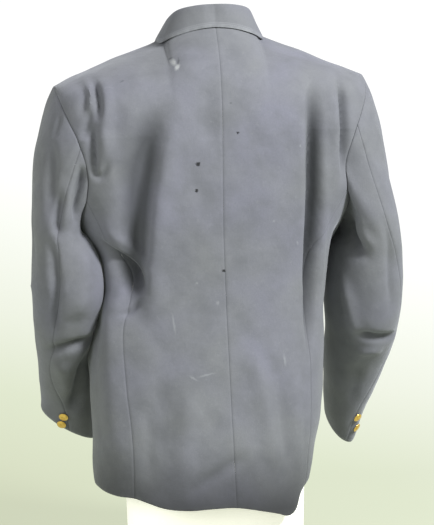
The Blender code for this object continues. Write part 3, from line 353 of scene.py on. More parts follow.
FOLD_FADE = 0.35            # share of a fold's line over which it rises from the flat cloth

# Slight unevenness of old wool cloth, as crossing swells.
SWELL_COLUMNS = ("x", "y", "z", "phase", "height")
SWELLS = (
    (61.0, 20.0, 13.0, 0.4, 0.00045),
    (-38.0, 33.0, 47.0, 1.9, 0.00045),
    (17.0, -71.0, 83.0, 3.1, 0.00030),
    (104.0, 37.0, -59.0, 5.0, 0.00022),
    (-131.0, 88.0, 97.0, 2.2, 0.00014),
)
SEAM_DIP = 0.0006           # a pressed seam sinks by this much
SEAM_DIP_WIDTH = 0.0016
WEAR_WIDTH = 0.0040         # rubbed band along an edge
EDGE_ROUNDING = 0.35        # share of the cloth by which a free edge is rounded over
EDGE_SHARES = (0.0, 0.004, 0.009, 0.015, 0.024)

BODY = table(BODY_COLUMNS, BODY_RINGS)
SEAMS = table(SEAM_COLUMNS, SEAM_LINES)
ARMHOLE = table(ARMHOLE_COLUMNS, ARMHOLE_EDGE)
SHOULDER = table(SHOULDER_COLUMNS, SHOULDER_LINE)
HEM = table(HEM_COLUMNS, HEM_LINE)
SWELL = table(SWELL_COLUMNS, SWELLS)


def side_name(side):
    """The wearer's side: 1 is left and -1 is right."""
    return "left" if side > 0 else "right"


def body_at(column, z):
    """A column of the body's rings at each height."""
    return smooth(z, BODY["height"], BODY[column])


def seam_x(name, z):
    """X of a long seam at each height."""
    return smooth(z, SEAMS["height"], SEAMS[name])


def armhole_x(z):
    """Distance of the armhole's edge from the centre at each height, on either side."""
    return smooth(z, ARMHOLE["height"], ARMHOLE["edge"])


def hem_height(angle):
    """Height of the hem at each angle from the centre back."""
    return smooth(angle, HEM["angle"], HEM["height"])


def ridge_height(x):
    """Height of the neck seam and the shoulder seam over each X."""
    reach = np.abs(x)
    neck = NECK_SIDE_HEIGHT + (NECK_HEIGHT - NECK_SIDE_HEIGHT) * (1 - (reach / NECK_HALF) ** 2)
    left, right = (smooth(reach, SHOULDER["x"], SHOULDER[side]) for side in ("left", "right"))
    return np.where(reach < NECK_HALF, neck, np.where(x > 0, left, right))


def panel_point(x, z, back=True):
    """The back or the front over X and height: the ring's superellipse, turned over to the seam at the top."""
    x, z = np.broadcast_arrays(np.asarray(x, float), np.asarray(z, float))
    low = np.minimum(z, BLADE_HEIGHT)
    corner = body_at("corner", low)
    half = np.where(x > 0, body_at("left", low), body_at("right", low))
    share = np.clip(np.abs(x) / half, 0, 1) ** corner
    ring = (body_at("back", low) if back else -body_at("front", low)) * (1 - share) ** (1 / corner)
    top = np.clip((z - BLADE_HEIGHT) / (ridge_height(x) - BLADE_HEIGHT), 0, 1)
    rounding = RIDGE_ROUNDING + PAD_ROUNDING * (x / SHOULDER_HALF) ** 2
    reach = np.minimum(np.abs(x), NECK_HALF)
    seam = NECK_ROUND * np.sqrt(NECK_HALF ** 2 - reach ** 2) if back else np.zeros_like(x)
    return np.stack([x, seam + (ring - seam) * (1 - top ** rounding), z], axis=-1)


def front_point(x, z):
    """The front over X and height, worked out as the back is."""
    return panel_point(x, z, back=False)


def ring_point(angle, z):
    """The body's ring in the direction of the angle, in degrees from the centre back towards the left."""
    angle, z = np.broadcast_arrays(np.radians(angle), np.asarray(z, float))
    side = np.where(np.sin(angle) > 0, body_at("left", z), body_at("right", z))
    depth = np.where(np.cos(angle) > 0, body_at("back", z), body_at("front", z))
    corner = body_at("corner", z)
    reach = (np.abs(np.sin(angle) / side) ** corner + np.abs(np.cos(angle) / depth) ** corner) ** (-1 / corner)
    return np.stack([reach * np.sin(angle), reach * np.cos(angle), z], axis=-1)


def angle_of(points):
    """Angle of each point round the body, in degrees from the centre back towards the left."""
    return np.degrees(np.arctan2(points[..., 0], points[..., 1]))


def three_places(places, steps=9):
    """A parabola through three places, as two arrays."""
    t = np.linspace(0, 1, steps)[:, None]
    start, middle, end = (np.array(place) for place in places)
    return (start * (1 - t) * (1 - 2 * t) + middle * 4 * t * (1 - t) + end * t * (2 * t - 1)).T


def body_fold_path(face, places):
    """The fold's line on its face, and the direction in which its left width lies."""
    across, z = three_places(places)
    if face in ("back", "front"):
        return panel_point(across, z, face == "back"), np.array([1.0, 0.0, 0.0])
    return ring_point(across, z), unit(ring_point(across[4] + 2, z[4]) - ring_point(across[4] - 2, z[4]))


def fold_depth(points, folds):
    """Depth of the folds at each point. Across a fold's line it is a bell with a width of its own on either side,
    and along the line it fades out towards both ends."""
    total = np.zeros(points.shape[:-1])
    for path, across, right_width, left_width, depth in folds:
        best = np.full(points.shape[:-1], np.inf)
        share = np.zeros(points.shape[:-1])
        onto_left = np.zeros(points.shape[:-1])
        for k, step in enumerate(np.diff(path, axis=0)):
            t = np.clip(((points - path[k]) @ step) / (step @ step), 0, 1)
            offset = points - path[k] - t[..., None] * step
            gap = (offset ** 2).sum(-1)
            nearer = gap < best
            best = np.where(nearer, gap, best)
            share = np.where(nearer, (k + t) / (len(path) - 1), share)
            onto_left = np.where(nearer, offset @ across, onto_left)
        width = np.where(onto_left > 0, left_width, right_width)
        total += depth * np.exp(-best / width ** 2) * ease(share, 0.0, FOLD_FADE) * ease(1 - share, 0.0, FOLD_FADE)
    return total


def swell(points):
    """Height of the cloth's slight unevenness: a sum of sine waves that run in different directions."""
    phase = (points[..., 0, None] * SWELL["x"] + points[..., 1, None] * SWELL["y"]
             + points[..., 2, None] * SWELL["z"] + SWELL["phase"])
    return (np.sin(phase + 0.7 * np.sin(0.37 * phase)) * SWELL["height"]).sum(-1)


def normals_of(surface, u, v, du, dv, outward):
    """Unit normals of a surface by small steps along its two parameters, on the side of the outward vectors."""
    normal = unit(np.cross(surface(u + du, v) - surface(u - du, v), surface(u, v + dv) - surface(u, v - dv)))
    return normal * np.where((normal * outward).sum(-1) < 0, -1.0, 1.0)[..., None]


def grid_normals(points, outward):
    """Unit normals of a grid of points, from its own steps, on the side of the outward vectors."""
    normal = unit(np.cross(np.gradient(points, axis=1), np.gradient(points, axis=0)))
    return normal * np.sign((normal * outward).sum(-1).mean())


FOLD_PATHS = [(*body_fold_path(fold[0], fold[1:4]), *fold[4:]) for fold in BODY_FOLDS]
NORMAL_STEP = 0.001         # step along X or height in metres, for the normals
NORMAL_TURN = 0.4           # step along a ring's angle in degrees
U_STEP = {panel_point: NORMAL_STEP, front_point: NORMAL_STEP, ring_point: NORMAL_TURN}


def body_surface(shape, u, v, lift=0.0):
    """Points, outward directions and depths of the folds of the worn body: the smooth shape moved along its normal
    by the lift, the folds and the swells, and then tilted."""
    base = shape(u, v)
    outward = base * np.array([1.0, 1.0, 0.0]) + [0.0, 0.0, 0.02]
    normal = normals_of(shape, u, v, U_STEP[shape], -NORMAL_STEP, outward)
    folds = fold_depth(base, FOLD_PATHS)
    height = (lift(u, v) if callable(lift) else lift) - folds + swell(base)
    return settle(base + normal * height[..., None]), normal, folds


def edge_distance(points):
    """Distance of each grid point from its row's and its column's ends, measured along the cloth."""
    def from_ends(axis):
        """The run from each end of the grid along one axis, as sums of its steps."""
        steps = np.linalg.norm(np.diff(points, axis=axis), axis=-1)
        run = np.concatenate([np.zeros_like(np.take(steps, [0], axis)), np.cumsum(steps, axis)], axis)
        total = np.take(run, [-1], axis)
        return run, total - run
    return from_ends(1), from_ends(0)


def shell(name, points, outward, folds, material, seams, stitched=(), thickness=SHELL):
    """A cloth piece: the outer grid, the same grid moved in by the thickness, and rims between them. The edges named
    in seams, of start, end, bottom and top, sink as a pressed seam does, and every edge is rounded over. Its UV map
    is the cloth's own run in metres. Its attributes are wear, 1 at a free edge, join, 1 at a seam, fold, the depth
    of the folds, and sewn, the distance from the nearest stitched edge."""
    (from_start, from_end), (from_bottom, from_top) = edge_distance(points)
    gaps = {"start": from_start, "end": from_end, "bottom": from_bottom, "top": from_top}
    normals = grid_normals(points, outward)
    dip = np.zeros(points.shape[:-1])
    wear = np.zeros(points.shape[:-1])
    join = np.zeros(points.shape[:-1])
    sewn = np.ones(points.shape[:-1])
    for edge, gap in gaps.items():
        if edge in stitched:
            sewn = np.minimum(sewn, gap)
        deep = SEAM_DIP if edge in seams else thickness * EDGE_ROUNDING
        dip = np.maximum(dip, deep * np.exp(-(gap / SEAM_DIP_WIDTH) ** 2))
        if edge in seams:
            join = np.maximum(join, np.exp(-(gap / SEAM_DIP_WIDTH) ** 2))
        else:
            wear = np.maximum(wear, np.exp(-(gap / WEAR_WIDTH) ** 2))
    inner = points - normals * thickness
    outer = points - normals * dip[..., None]
    rows, columns = points.shape[:2]
    below = rows * columns
    index = np.arange(below).reshape(rows, columns)
    loop = np.concatenate([index[0], index[1:, -1], index[-1, -2::-1], index[-2:0:-1, 0]])
    after = np.roll(loop, -1)
    around = np.stack([loop, after, after + below, loop + below], -1)
    quads = grid_faces(rows, columns)
    faces = np.concatenate([quads[:, ::-1], quads + below, around])
    piece = put_mesh(name, np.concatenate([outer.reshape(-1, 3), inner.reshape(-1, 3)]), faces, material)
    run = np.stack([from_start, from_bottom], -1).reshape(-1, 2)
    corner = np.empty(len(piece.data.loops), np.int32)
    piece.data.loops.foreach_get("vertex_index", corner)
    piece.data.uv_layers.new(name="cloth").uv.foreach_set("vector", np.tile(run, (2, 1))[corner].ravel())
    for label, mask in (("wear", wear), ("join", join), ("fold", folds), ("sewn", sewn)):
        layer = piece.data.attributes.new(label, "FLOAT", "POINT")
        layer.data.foreach_set("value", np.tile(mask.ravel(), 2))
    return piece


def spread(count):
    """Shares from 0 to 1, set close together at both ends so that an edge can be rounded."""
    ends = np.array(EDGE_SHARES)
    return np.concatenate([ends, np.linspace(ends[-1], 1 - ends[-1], count)[1:-1], 1 - ends[::-1]])


# Marks on the back. The columns are X, height, half width and half height, in metres, and turn in degrees.
MOTH_HOLES = (
    (0.0368, 0.5941, 0.0030, 0.0026, 10.0),
    (0.0350, 0.5955, 0.0016, 0.0015, 0.0),
    (0.0385, 0.5553, 0.0022, 0.0020, 40.0),
    (-0.0016, 0.4373, 0.0026, 0.0019, -15.0),
    (-0.0228, 0.6400, 0.0016, 0.0014, 0.0),
)
STAINS = (
    (0.0668, 0.7478, 0.0034, 0.0050, 12.0),
    (0.0624, 0.7395, 0.0028, 0.0046, -30.0),
)
# Dark outlines and spots: two run along the pale marks' edges and two stand apart.
DARK_OUTLINES = (
    (0.0700, 0.7545, 0.0030, 0.0016, 25.0),
    (0.0600, 0.7478, 0.0014, 0.0060, -12.0),
    (-0.0135, 0.6843, 0.0016, 0.0012, 0.0),
    (0.1440, 0.7187, 0.0030, 0.0010, 30.0),
)
SPECKS = (
    (-0.1175, 0.6209, 0.0012, 0.0018, 0.0),
    (-0.0772, 0.5103, 0.0014, 0.0014, 0.0),
    (-0.1151, 0.4779, 0.0012, 0.0024, 10.0),
    (-0.0928, 0.3034, 0.0016, 0.0070, 8.0),
    (0.0265, 0.2846, 0.0100, 0.0012, 12.0),
    (0.0460, 0.2800, 0.0060, 0.0012, -30.0),
    (0.0386, 0.4202, 0.0014, 0.0014, 0.0),
    (0.0077, 0.3902, 0.0022, 0.0026, 0.0),
    (0.1610, 0.2960, 0.0012, 0.0050, 15.0),
    (0.1560, 0.2860, 0.0018, 0.0018, 0.0),
    (0.0730, 0.3600, 0.0014, 0.0120, 8.0),
)

# Patches of faded dye, clouds, lint and single dark fibres, from coarse to fine. The columns are the noise's scale and
# detail, its low and high end, and the strength and colour of the tone.
TONES = (
    (6.5, 2.0, 0.38, 0.62, 1.00, "#6D6E7A"),
    (24.0, 3.0, 0.42, 0.72, 0.60, "#5C5E63"),
    (150.0, 3.0, 0.58, 0.78, 0.30, "#7D8085"),
    (900.0, 2.0, 0.30, 0.70, 0.40, "#54575D"),
)
HEM_PAINTED_SHADE = (0.180, 0.085, 0.85)     # heights between which painted shade darkens the cloth towards the hem, and its strength
FOLD_PAINTED_SHADE = (0.002, 0.015, 0.80)      # depths of a fold between which painted shade darkens it, and how much
STITCH = 0.003                      # length of a stitch with the gap after it
STITCH_WIDTH = 0.00045              # half width of the thread, a little coarse so that it shows
STITCH_ROWS = (0.0045, 0.0070)      # distances from a stitched edge
MARKS = (                           # which marks, the softness of their edges, and their strength and colour
    (SPECKS, 0.6, 0.25, "#9A9EA2"),
    (DARK_OUTLINES, 0.5, 0.55, "#36383C"),
    (STAINS, 0.5, 0.60, "#A9ACAC"),
    # the moth holes are near-black patches sunk by a bump: their dark is painted shade from inside the jacket
    (MOTH_HOLES, 0.35, 0.95, "#17181B"),
)
MARK_DEPTH = 0.12                   # Y of the middle of each mark and its half size there, so that it spans the back
RAGGED = 0.0035                     # how far the noise moves the edges of the marks


def spots(tree, place, rows, soft):
    """The union of ellipses on the back, each 1 inside and fading to 0 at its ragged edge."""
    whole = None
    for x, z, half_across, half_up, turn in rows:
        oval = {"Location": (x, MARK_DEPTH, z), "Rotation": (0.0, np.radians(turn), 0.0),
                "Scale": (half_across, MARK_DEPTH, half_up)}
        near = add(tree, "ShaderNodeMapping", oval, {"Vector": place}, vector_type="TEXTURE")
        away = add(tree, "ShaderNodeVectorMath", {}, {0: near.outputs["Vector"]}, operation="LENGTH")
        spot = add(tree, "ShaderNodeMapRange", {"From Min": 1 - soft, "From Max": 1 + soft, "To Min": 1.0,
                   "To Max": 0.0}, {"Value": away.outputs["Value"]}).outputs["Result"]
        whole = spot if whole is None else add(tree, "ShaderNodeMath", {}, {0: whole, 1: spot},
                                               operation="MAXIMUM").outputs["Value"]
    return whole


def wool_twill(name, marks):
    """Navy wool serge, piece-dyed, pressed and faded by light: the diagonal rib shows as a fine relief, loose fibres
    scatter light at the rim as sheen, and the dye has gone blue-grey with greenish and violet patches. Free edges
    are rubbed pale, seams are dark lines, deep folds are darkened with painted shade, stitched edges have two rows
    of lighter thread, and the cloth towards the hem is darkened with painted shade."""
    rib = 0.0011            # serge has 0.6 mm ribs, drawn coarser so that a close view shows them
    wave_length = np.pi / 10    # the wave texture's own period at scale 1
    material, tree, shader = new_material(name, Roughness=0.82, Specular_IOR_Level=0.30, Sheen_Weight=0.35,
                                          Sheen_Roughness=0.45, Sheen_Tint=linear("#C9CDD4"))
    place = add(tree, "ShaderNodeTexCoord").outputs["Object"]
    weave = add(tree, "ShaderNodeUVMap", uv_map="cloth").outputs["UV"]
    tilted = add(tree, "ShaderNodeMapping", {"Rotation": (0.0, 0.0, np.radians(27.0))}, {"Vector": weave})
    ribs = add(tree, "ShaderNodeTexWave", {"Scale": wave_length / rib, "Distortion": 1.2, "Detail": 1.0,
               "Detail Scale": 2.0}, {"Vector": tilted.outputs["Vector"]}).outputs["Fac"]
    height = add(tree, "ShaderNodeSeparateXYZ", {}, {"Vector": place}).outputs["Z"]
    rub = add(tree, "ShaderNodeTexNoise", {"Scale": 90.0, "Detail": 2.0}, {"Vector": place}).outputs["Fac"]
    rub = add(tree, "ShaderNodeMapRange", {"From Min": 0.35, "From Max": 0.65, "To Min": 0.15, "To Max": 0.8},
              {"Value": rub}).outputs["Result"]
    wear = add(tree, "ShaderNodeAttribute", attribute_name="wear").outputs["Fac"]
    wear = add(tree, "ShaderNodeMath", {}, {0: wear, 1: rub}, operation="MULTIPLY").outputs["Value"]
    join = add(tree, "ShaderNodeAttribute", attribute_name="join").outputs["Fac"]
    layers = []             # what drives each layer of tone, its low and high end, its strength and its colour
    for scale, detail, low, high, strength, colour in TONES:
        cloud = add(tree, "ShaderNodeTexNoise", {"Scale": scale, "Detail": detail, "Roughness": 0.6},
                    {"Vector": place}).outputs["Fac"]
        layers.append((cloud, low, high, strength, colour))
    fold = add(tree, "ShaderNodeAttribute", attribute_name="fold").outputs["Fac"]
    # Painted shade: the cloth towards the hem and in the deep folds is darkened in its colour, standing in for shade.
    layers += [(wear, 0.0, 1.0, 1.0, "#84878B"), (join, 0.8, 1.0, 0.5, "#404247"),
               (ribs, 0.0, 1.0, 0.10, "#464950"), (height, *HEM_PAINTED_SHADE, "#222324"),
               (fold, *FOLD_PAINTED_SHADE, "#3A3C41")]
    sewn = add(tree, "ShaderNodeAttribute", attribute_name="sewn").outputs["Fac"]
    along = add(tree, "ShaderNodeSeparateXYZ", {}, {"Vector": weave}).outputs["X"]
    along = add(tree, "ShaderNodeMath", {1: 2 * np.pi / STITCH}, {0: along}, operation="MULTIPLY").outputs["Value"]
    along = add(tree, "ShaderNodeMath", {}, {0: along}, operation="SINE").outputs["Value"]
    for inset in STITCH_ROWS:
        row = add(tree, "ShaderNodeMath", {1: inset, 2: STITCH_WIDTH}, {0: sewn}, operation="COMPARE").outputs["Value"]
        thread = add(tree, "ShaderNodeMath", {}, {0: row, 1: along}, operation="MULTIPLY").outputs["Value"]
        layers.append((thread, 0.0, 0.3, 0.7, "#8B8E94"))
    pitted = None
    if marks:
        ragged = add(tree, "ShaderNodeTexNoise", {"Scale": 420.0, "Detail": 2.0}, {"Vector": place})
        ragged = add(tree, "ShaderNodeVectorMath", {1: (0.5, 0.5, 0.5)}, {0: ragged.outputs["Color"]},
                     operation="SUBTRACT").outputs["Vector"]
        ragged = add(tree, "ShaderNodeVectorMath", {"Scale": RAGGED}, {0: ragged}, operation="SCALE").outputs["Vector"]
        ragged = add(tree, "ShaderNodeVectorMath", {}, {0: place, 1: ragged}, operation="ADD").outputs["Vector"]
        for rows, soft, strength, colour in MARKS:
            pitted = spots(tree, ragged, rows, soft)
            layers.append((pitted, 0.0, 1.0, strength, colour))
    tone = None
    for value, low, high, strength, colour in layers:
        share = add(tree, "ShaderNodeMapRange", {"From Min": low, "From Max": high, "To Max": strength},
                    {"Value": value}).outputs["Result"]
        below = {"A": linear("#6D6F73")} if tone is None else {}
        tone = add(tree, "ShaderNodeMix", {**below, "B": linear(colour)},
                   {"Factor": share, **({} if tone is None else {"A": tone})}, data_type="RGBA").outputs["Result"]
    tree.links.new(tone, shader.inputs["Base Color"])
    normal = {}
    for scale, strength, depth in ((55.0, 0.55, 0.0016), (1400.0, 0.30, 0.0002)):
        uneven = add(tree, "ShaderNodeTexNoise", {"Scale": scale, "Detail": 3.0}, {"Vector": place})
        bump = add(tree, "ShaderNodeBump", {"Strength": strength, "Distance": depth},
                   {"Height": uneven.outputs["Fac"], **normal})
        normal = {"Normal": bump.outputs["Normal"]}
    relief = add(tree, "ShaderNodeBump", {"Strength": 0.35, "Distance": 0.00015}, {"Height": ribs, **normal})
    if marks:
        relief = add(tree, "ShaderNodeBump", {"Strength": 1.0, "Distance": 0.0012},
                     {"Height": pitted, "Normal": relief.outputs["Normal"]}, invert=True)
    tree.links.new(relief.outputs["Normal"], shader.inputs["Normal"])
    return material


TWILL = wool_twill("faded navy wool twill", marks=False)
MARKED_TWILL = wool_twill("faded navy wool twill with moth holes", marks=True)
PANEL_ROWS = (150, 12, 70)      # up to the underarm, along the lower armhole, and up to the shoulder
ARMHOLE_ROWS_END = 0.640


def panel_grid(hem, inner, outer, inner_top, columns):
    """X and height of a back or a front: rows up to the underarm, level rows to the blade, then rows that close on
    the shoulder seam. The functions inner and outer give the X of the panel's edges at each height."""
    k = spread(columns)[None, :]
    low_rows, armhole_rows, top_rows = PANEL_ROWS
    r = spread(low_rows + 5)[:-5, None]
    r = r / r.max()
    z = hem[None, :] + (UNDERARM_HEIGHT - hem[None, :]) * r
    x = inner(z[:, :1]) + (outer(z[:, -1:]) - inner(z[:, :1])) * k
    level = np.linspace(UNDERARM_HEIGHT, ARMHOLE_ROWS_END, armhole_rows * 3 + 1)[1:-1, None]
    x_level = inner(level) + (outer(level) - inner(level)) * k
    r = spread(top_rows)[4:, None]
    r = (r - r.min()) / (1 - r.min())
    end = inner(np.array([[inner_top]])) + (outer(np.array([[SHOULDER_HEIGHT]])) - inner(np.array([[inner_top]]))) * k
    low = BLADE_HEIGHT + (inner_top - BLADE_HEIGHT) * r
    high = BLADE_HEIGHT + (SHOULDER_HEIGHT - BLADE_HEIGHT) * r
    x_top = inner(low) + (outer(high) - inner(low)) * k
    z_top = BLADE_HEIGHT + (ridge_height(end) - BLADE_HEIGHT) * r
    return np.concatenate([x, x_level, x_top]), np.concatenate([z, np.broadcast_to(level, x_level.shape), z_top])


def outer_edge(side, seam):
    """X of a panel's outer edge: the seam to the side panel below the underarm, and the armhole above it."""
    name = f"{seam}_{side_name(side)}"

    def edge(z):
        """Half a seam's gap inside the line where the panel ends."""
        return np.where(z < UNDERARM_HEIGHT, seam_x(name, z), side * armhole_x(z)) - side * SEAM_GAP / 2
    return edge


def close_shoulder(points, y):
    """Along the shoulder seam the edge stands in one upright plane."""
    along_seam = np.abs(points[-1, :, 0]) > NECK_HALF - 1e-4
    points[-1, along_seam, 1] = y


BACK_COLUMNS = 64
for side in (1, -1):
    edge = outer_edge(side, "back")

    def centre(z):
        """X of this back's edge at the centre seam."""
        return seam_x("centre_back", z) + side * SEAM_GAP / 2

    shares = spread(BACK_COLUMNS)
    x_low = centre(HEM_MIDDLE) + (edge(np.array(HEM_MIDDLE)) - centre(HEM_MIDDLE)) * shares
    hem = hem_height(angle_of(panel_point(x_low, HEM_MIDDLE)))
    points, outward, folds = body_surface(panel_point, *panel_grid(hem, centre, edge, NECK_HEIGHT, BACK_COLUMNS))
    close_shoulder(points, SEAM_GAP / 2)
    back = shell(f"back_panel_{side_name(side)}", points, outward, folds, MARKED_TWILL, ("start", "end", "top"))
    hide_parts(f"back_{side_name(side)}")

SIDE_GRID = (170, 34)
for side in (1, -1):
    name = side_name(side)

    def seam_angles(z):
        """Angles of the seams to the back and to the front at each height."""
        back_seam = angle_of(panel_point(seam_x(f"back_{name}", z) + side * SEAM_GAP / 2, z))
        front_seam = angle_of(front_point(seam_x(f"front_{name}", z) + side * SEAM_GAP / 2, z))
        return back_seam, front_seam

    k, r = spread(SIDE_GRID[1])[None, :], spread(SIDE_GRID[0])[:, None]
    start, end = seam_angles(np.array([[HEM_MIDDLE]]))
    hem = hem_height(start + (end - start) * k)
    top = UNDERARM_HEIGHT - (UNDERARM_HEIGHT - PIT_HEIGHT) * np.sin(np.pi * k)
    z = hem + (top - hem) * r
    start, end = seam_angles(z[:, :1])[0], seam_angles(z[:, -1:])[1]
    points, outward, folds = body_surface(ring_point, start + (end - start) * k, z)
    panel = shell(f"side_panel_{name}", points, outward, folds, TWILL, ("start", "end", "top"))
    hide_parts(f"side_{name}")


# The fronts and their lapels: the left front buttons over the right one, and each front's top is folded back as a
# notched lapel. The photograph doesn't show them, so they are finished plainly, with turned and pressed edges.
OVERLAP = 0.018
OVERLAP_LIFT = 0.0016
OVERLAP_FADES = (0.030, 0.075)
ROLL_START_HEIGHT = 0.445
GORGE_HEIGHT = 0.742
LAPEL_POINT = (0.112, 0.700)
LAPEL_BELLY = 0.16
LAPEL_LIFT = 0.0013
CORNER_CUT = 0.050
FRONT_COLUMNS = 56
LAPEL_GRID = (110, 40)


def roll_line(side, z):
    """X of the front's inner edge: past the centre line below, up the roll line to the side of the neck above."""
    climb = np.clip((z - ROLL_START_HEIGHT) / (NECK_SIDE_HEIGHT - ROLL_START_HEIGHT), 0, 1)
    return side * (-OVERLAP + (NECK_HALF + OVERLAP) * climb)


def overlap_lift(side):
    """How far a front stands out, or in under the other, near the centre line."""
    def lift(x, z):
        """The overlap's lift, which fades out across the front and above the roll's start."""
        near = 1 - ease(np.abs(x), *OVERLAP_FADES)
        low = 1 - ease(z, ROLL_START_HEIGHT + 0.05, ROLL_START_HEIGHT + 0.15)
        return side * OVERLAP_LIFT * near * low
    return lift


for side in (1, -1):
    name = side_name(side)
    edge = outer_edge(side, "front")

    def opening(z):
        """X of this front's inner edge."""
        return roll_line(side, z)

    shares = spread(FRONT_COLUMNS)
    x_low = opening(HEM_MIDDLE) + (edge(np.array(HEM_MIDDLE)) - opening(HEM_MIDDLE)) * shares
    hem = hem_height(angle_of(front_point(x_low, HEM_MIDDLE)))
    hem = hem + CORNER_CUT * np.clip(1 - np.abs(x_low - x_low[0]) / CORNER_CUT, 0, 1) ** 2
    grid = panel_grid(hem, opening, edge, NECK_SIDE_HEIGHT, FRONT_COLUMNS)
    points, outward, folds = body_surface(front_point, *grid, lift=overlap_lift(side))
    close_shoulder(points, -SEAM_GAP / 2)
    front = shell(f"front_panel_{name}", points, outward, folds, TWILL, ("end", "top"), ("start",))
    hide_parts(f"front_{name}")

    r, k = spread(LAPEL_GRID[0])[:, None], spread(LAPEL_GRID[1])[None, :]
    z_roll = ROLL_START_HEIGHT + 0.004 + (GORGE_HEIGHT - ROLL_START_HEIGHT - 0.004) * r
    x_roll = roll_line(side, z_roll)
    if side < 0:
        x_roll = np.minimum(x_roll, roll_line(1, z_roll) - LAPEL_LIFT)
    belly = LAPEL_BELLY * np.sin(np.pi * r ** 0.8) * (1 - r)
    x_edge = x_roll[0] + side * 0.004 + (side * LAPEL_POINT[0] - x_roll[0]) * (r + belly)
    z_edge = z_roll[0] + 0.002 + (LAPEL_POINT[1] - z_roll[0]) * r
    rise = overlap_lift(side)
    grid = x_roll + (x_edge - x_roll) * k, z_roll + (z_edge - z_roll) * k
    points, outward, folds = body_surface(front_point, *grid, lift=lambda x, z: rise(x, z) + LAPEL_LIFT + SHELL)
    lapel = shell(f"lapel_fold_{name}", points, outward, folds, TWILL, (), ("end", "top"))
    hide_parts(f"lapel_{name}")


# The collar: one piece of twill with a stiffened stand, sewn to the neck seam, rolled over and turned down. Its fall
# lies close on the back and ends at the gorge on each lapel, and two rows of stitching run just above its edge.
COLLAR_COLUMNS = ("station", "stand", "lean", "fall_out", "fall_drop")
COLLAR_STATIONS = (
    (0.00, 0.0292, 0.000, 0.0020, 0.0320),
    (0.25, 0.0292, 0.001, 0.0060, 0.0345),
    (0.50, 0.0285, 0.004, 0.0135, 0.0385),
    (0.80, 0.0240, 0.010, 0.0200, 0.0376),
    (1.00, 0.0225, 0.012, 0.0205, 0.0275),
    (1.30, 0.0150, 0.008, 0.0300, 0.0220),
    (1.70, 0.0070, 0.002, 0.0340, 0.0140),
    (2.00, 0.0040, 0.000, 0.0340, 0.0120),
)
COLLAR_GRID = (44, 120)         # across the collar, and along each half
COLLAR_PLACES = np.arange(7.0)  # the seam, half the stand, three at the crest, half the fall and its edge
COLLAR_TOP = 3                  # the place at the top of the crest
COLLAR_ROLL = (0.0030, 0.0026)  # half width and height of the roll at the crest
COLLAR_SHOULDER = (2.1, 0.3)    # how far out and up the crest's outer place lies, as shares of the roll
COLLAR_FULL = 0.004             # the roll is full where the fall stands out by this much
COLLAR_SHELL = 0.0014
COLLAR = table(COLLAR_COLUMNS, COLLAR_STATIONS)


def collar_half(side, stations, across):
    """The collar from the centre back to one end: at each station a smooth profile through the neck seam, the stand,
    the rounded crest and the fall. The neck seam is a quarter of an oval and then the roll line. The fall hangs less
    low where its shoulder is higher than the left one."""
    s = stations
    mirror = np.array([side, 1.0, 1.0])
    stand, lean, out, drop = (smooth(s, COLLAR["station"], COLLAR[c])[:, None] for c in COLLAR_COLUMNS[1:])
    turn = np.pi / 2 * np.minimum(s, 1)
    x = NECK_HALF * np.sin(turn)
    neck = np.stack([x, NECK_ROUND * NECK_HALF * np.cos(turn), ridge_height(side * x)], -1)
    z = NECK_SIDE_HEIGHT + (GORGE_HEIGHT + 0.001 - NECK_SIDE_HEIGHT) * np.clip(s - 1, 0, 1)
    roll = front_point(side * roll_line(1, z), z) * mirror
    past = np.maximum(s - 1, 0)
    behind = (s > 1)[:, None]
    seam = np.where(behind, roll, neck) + [0.0, 0.0, SEAM_GAP]
    away = unit(np.where(behind, np.stack([np.ones_like(s), -0.25 * past, -0.10 * past], -1),
                         np.stack([np.sin(turn), np.cos(turn), np.zeros_like(s)], -1)))
    crest = seam + [0.0, 0.0, 1.0] * stand - away * lean
    reach = (crest + away * out)[:, :1]
    drop = drop - ridge_height(side * reach) + ridge_height(reach)
    fall = crest + away * out - [0.0, 0.0, 1.0] * drop
    round_out = away * COLLAR_ROLL[0]
    up = np.array([0.0, 0.0, COLLAR_ROLL[1]])
    wide, high = COLLAR_SHOULDER
    shoulder = crest + round_out * wide * np.minimum(1, out / COLLAR_FULL) + up * high
    profile = np.stack([seam, seam + (crest - seam) * 0.55, crest, crest + round_out * 0.9 + up, shoulder,
                        shoulder + (fall - crest - round_out) * 0.45, fall + round_out])
    points = smooth(across, COLLAR_PLACES, profile)
    on_front = (s > 1)[None, :] & (across > COLLAR_TOP)[:, None]
    here = front_point(side * points[..., 0], points[..., 2])
    facing = normals_of(front_point, side * points[..., 0], points[..., 2], NORMAL_STEP, NORMAL_STEP,
                        np.array([0.0, -1.0, 0.1]))
    clear = here[..., 1] - (COLLAR_SHELL + LAPEL_LIFT) / np.maximum(-facing[..., 1], 0.4)
    points[..., 1] = np.where(on_front, np.minimum(points[..., 1], clear), points[..., 1])
    return points * mirror


across = COLLAR_PLACES[-1] * spread(COLLAR_GRID[0])
right_half, left_half = (collar_half(side, np.linspace(0, 2, COLLAR_GRID[1]), across) for side in (-1, 1))
collar_points = settle(np.concatenate([right_half[:, :0:-1], left_half], axis=1))
on_fall = (across > COLLAR_TOP + 0.5)[:, None, None]
collar_normals = grid_normals(collar_points, np.where(on_fall, collar_points * [1, 1, 0], 0.0))
collar_folds = np.zeros(collar_points.shape[:-1])
collar = shell("collar_turned_down", collar_points, collar_normals, collar_folds, TWILL, ("bottom",),
               ("start", "end", "top"), COLLAR_SHELL)
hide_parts("collar")


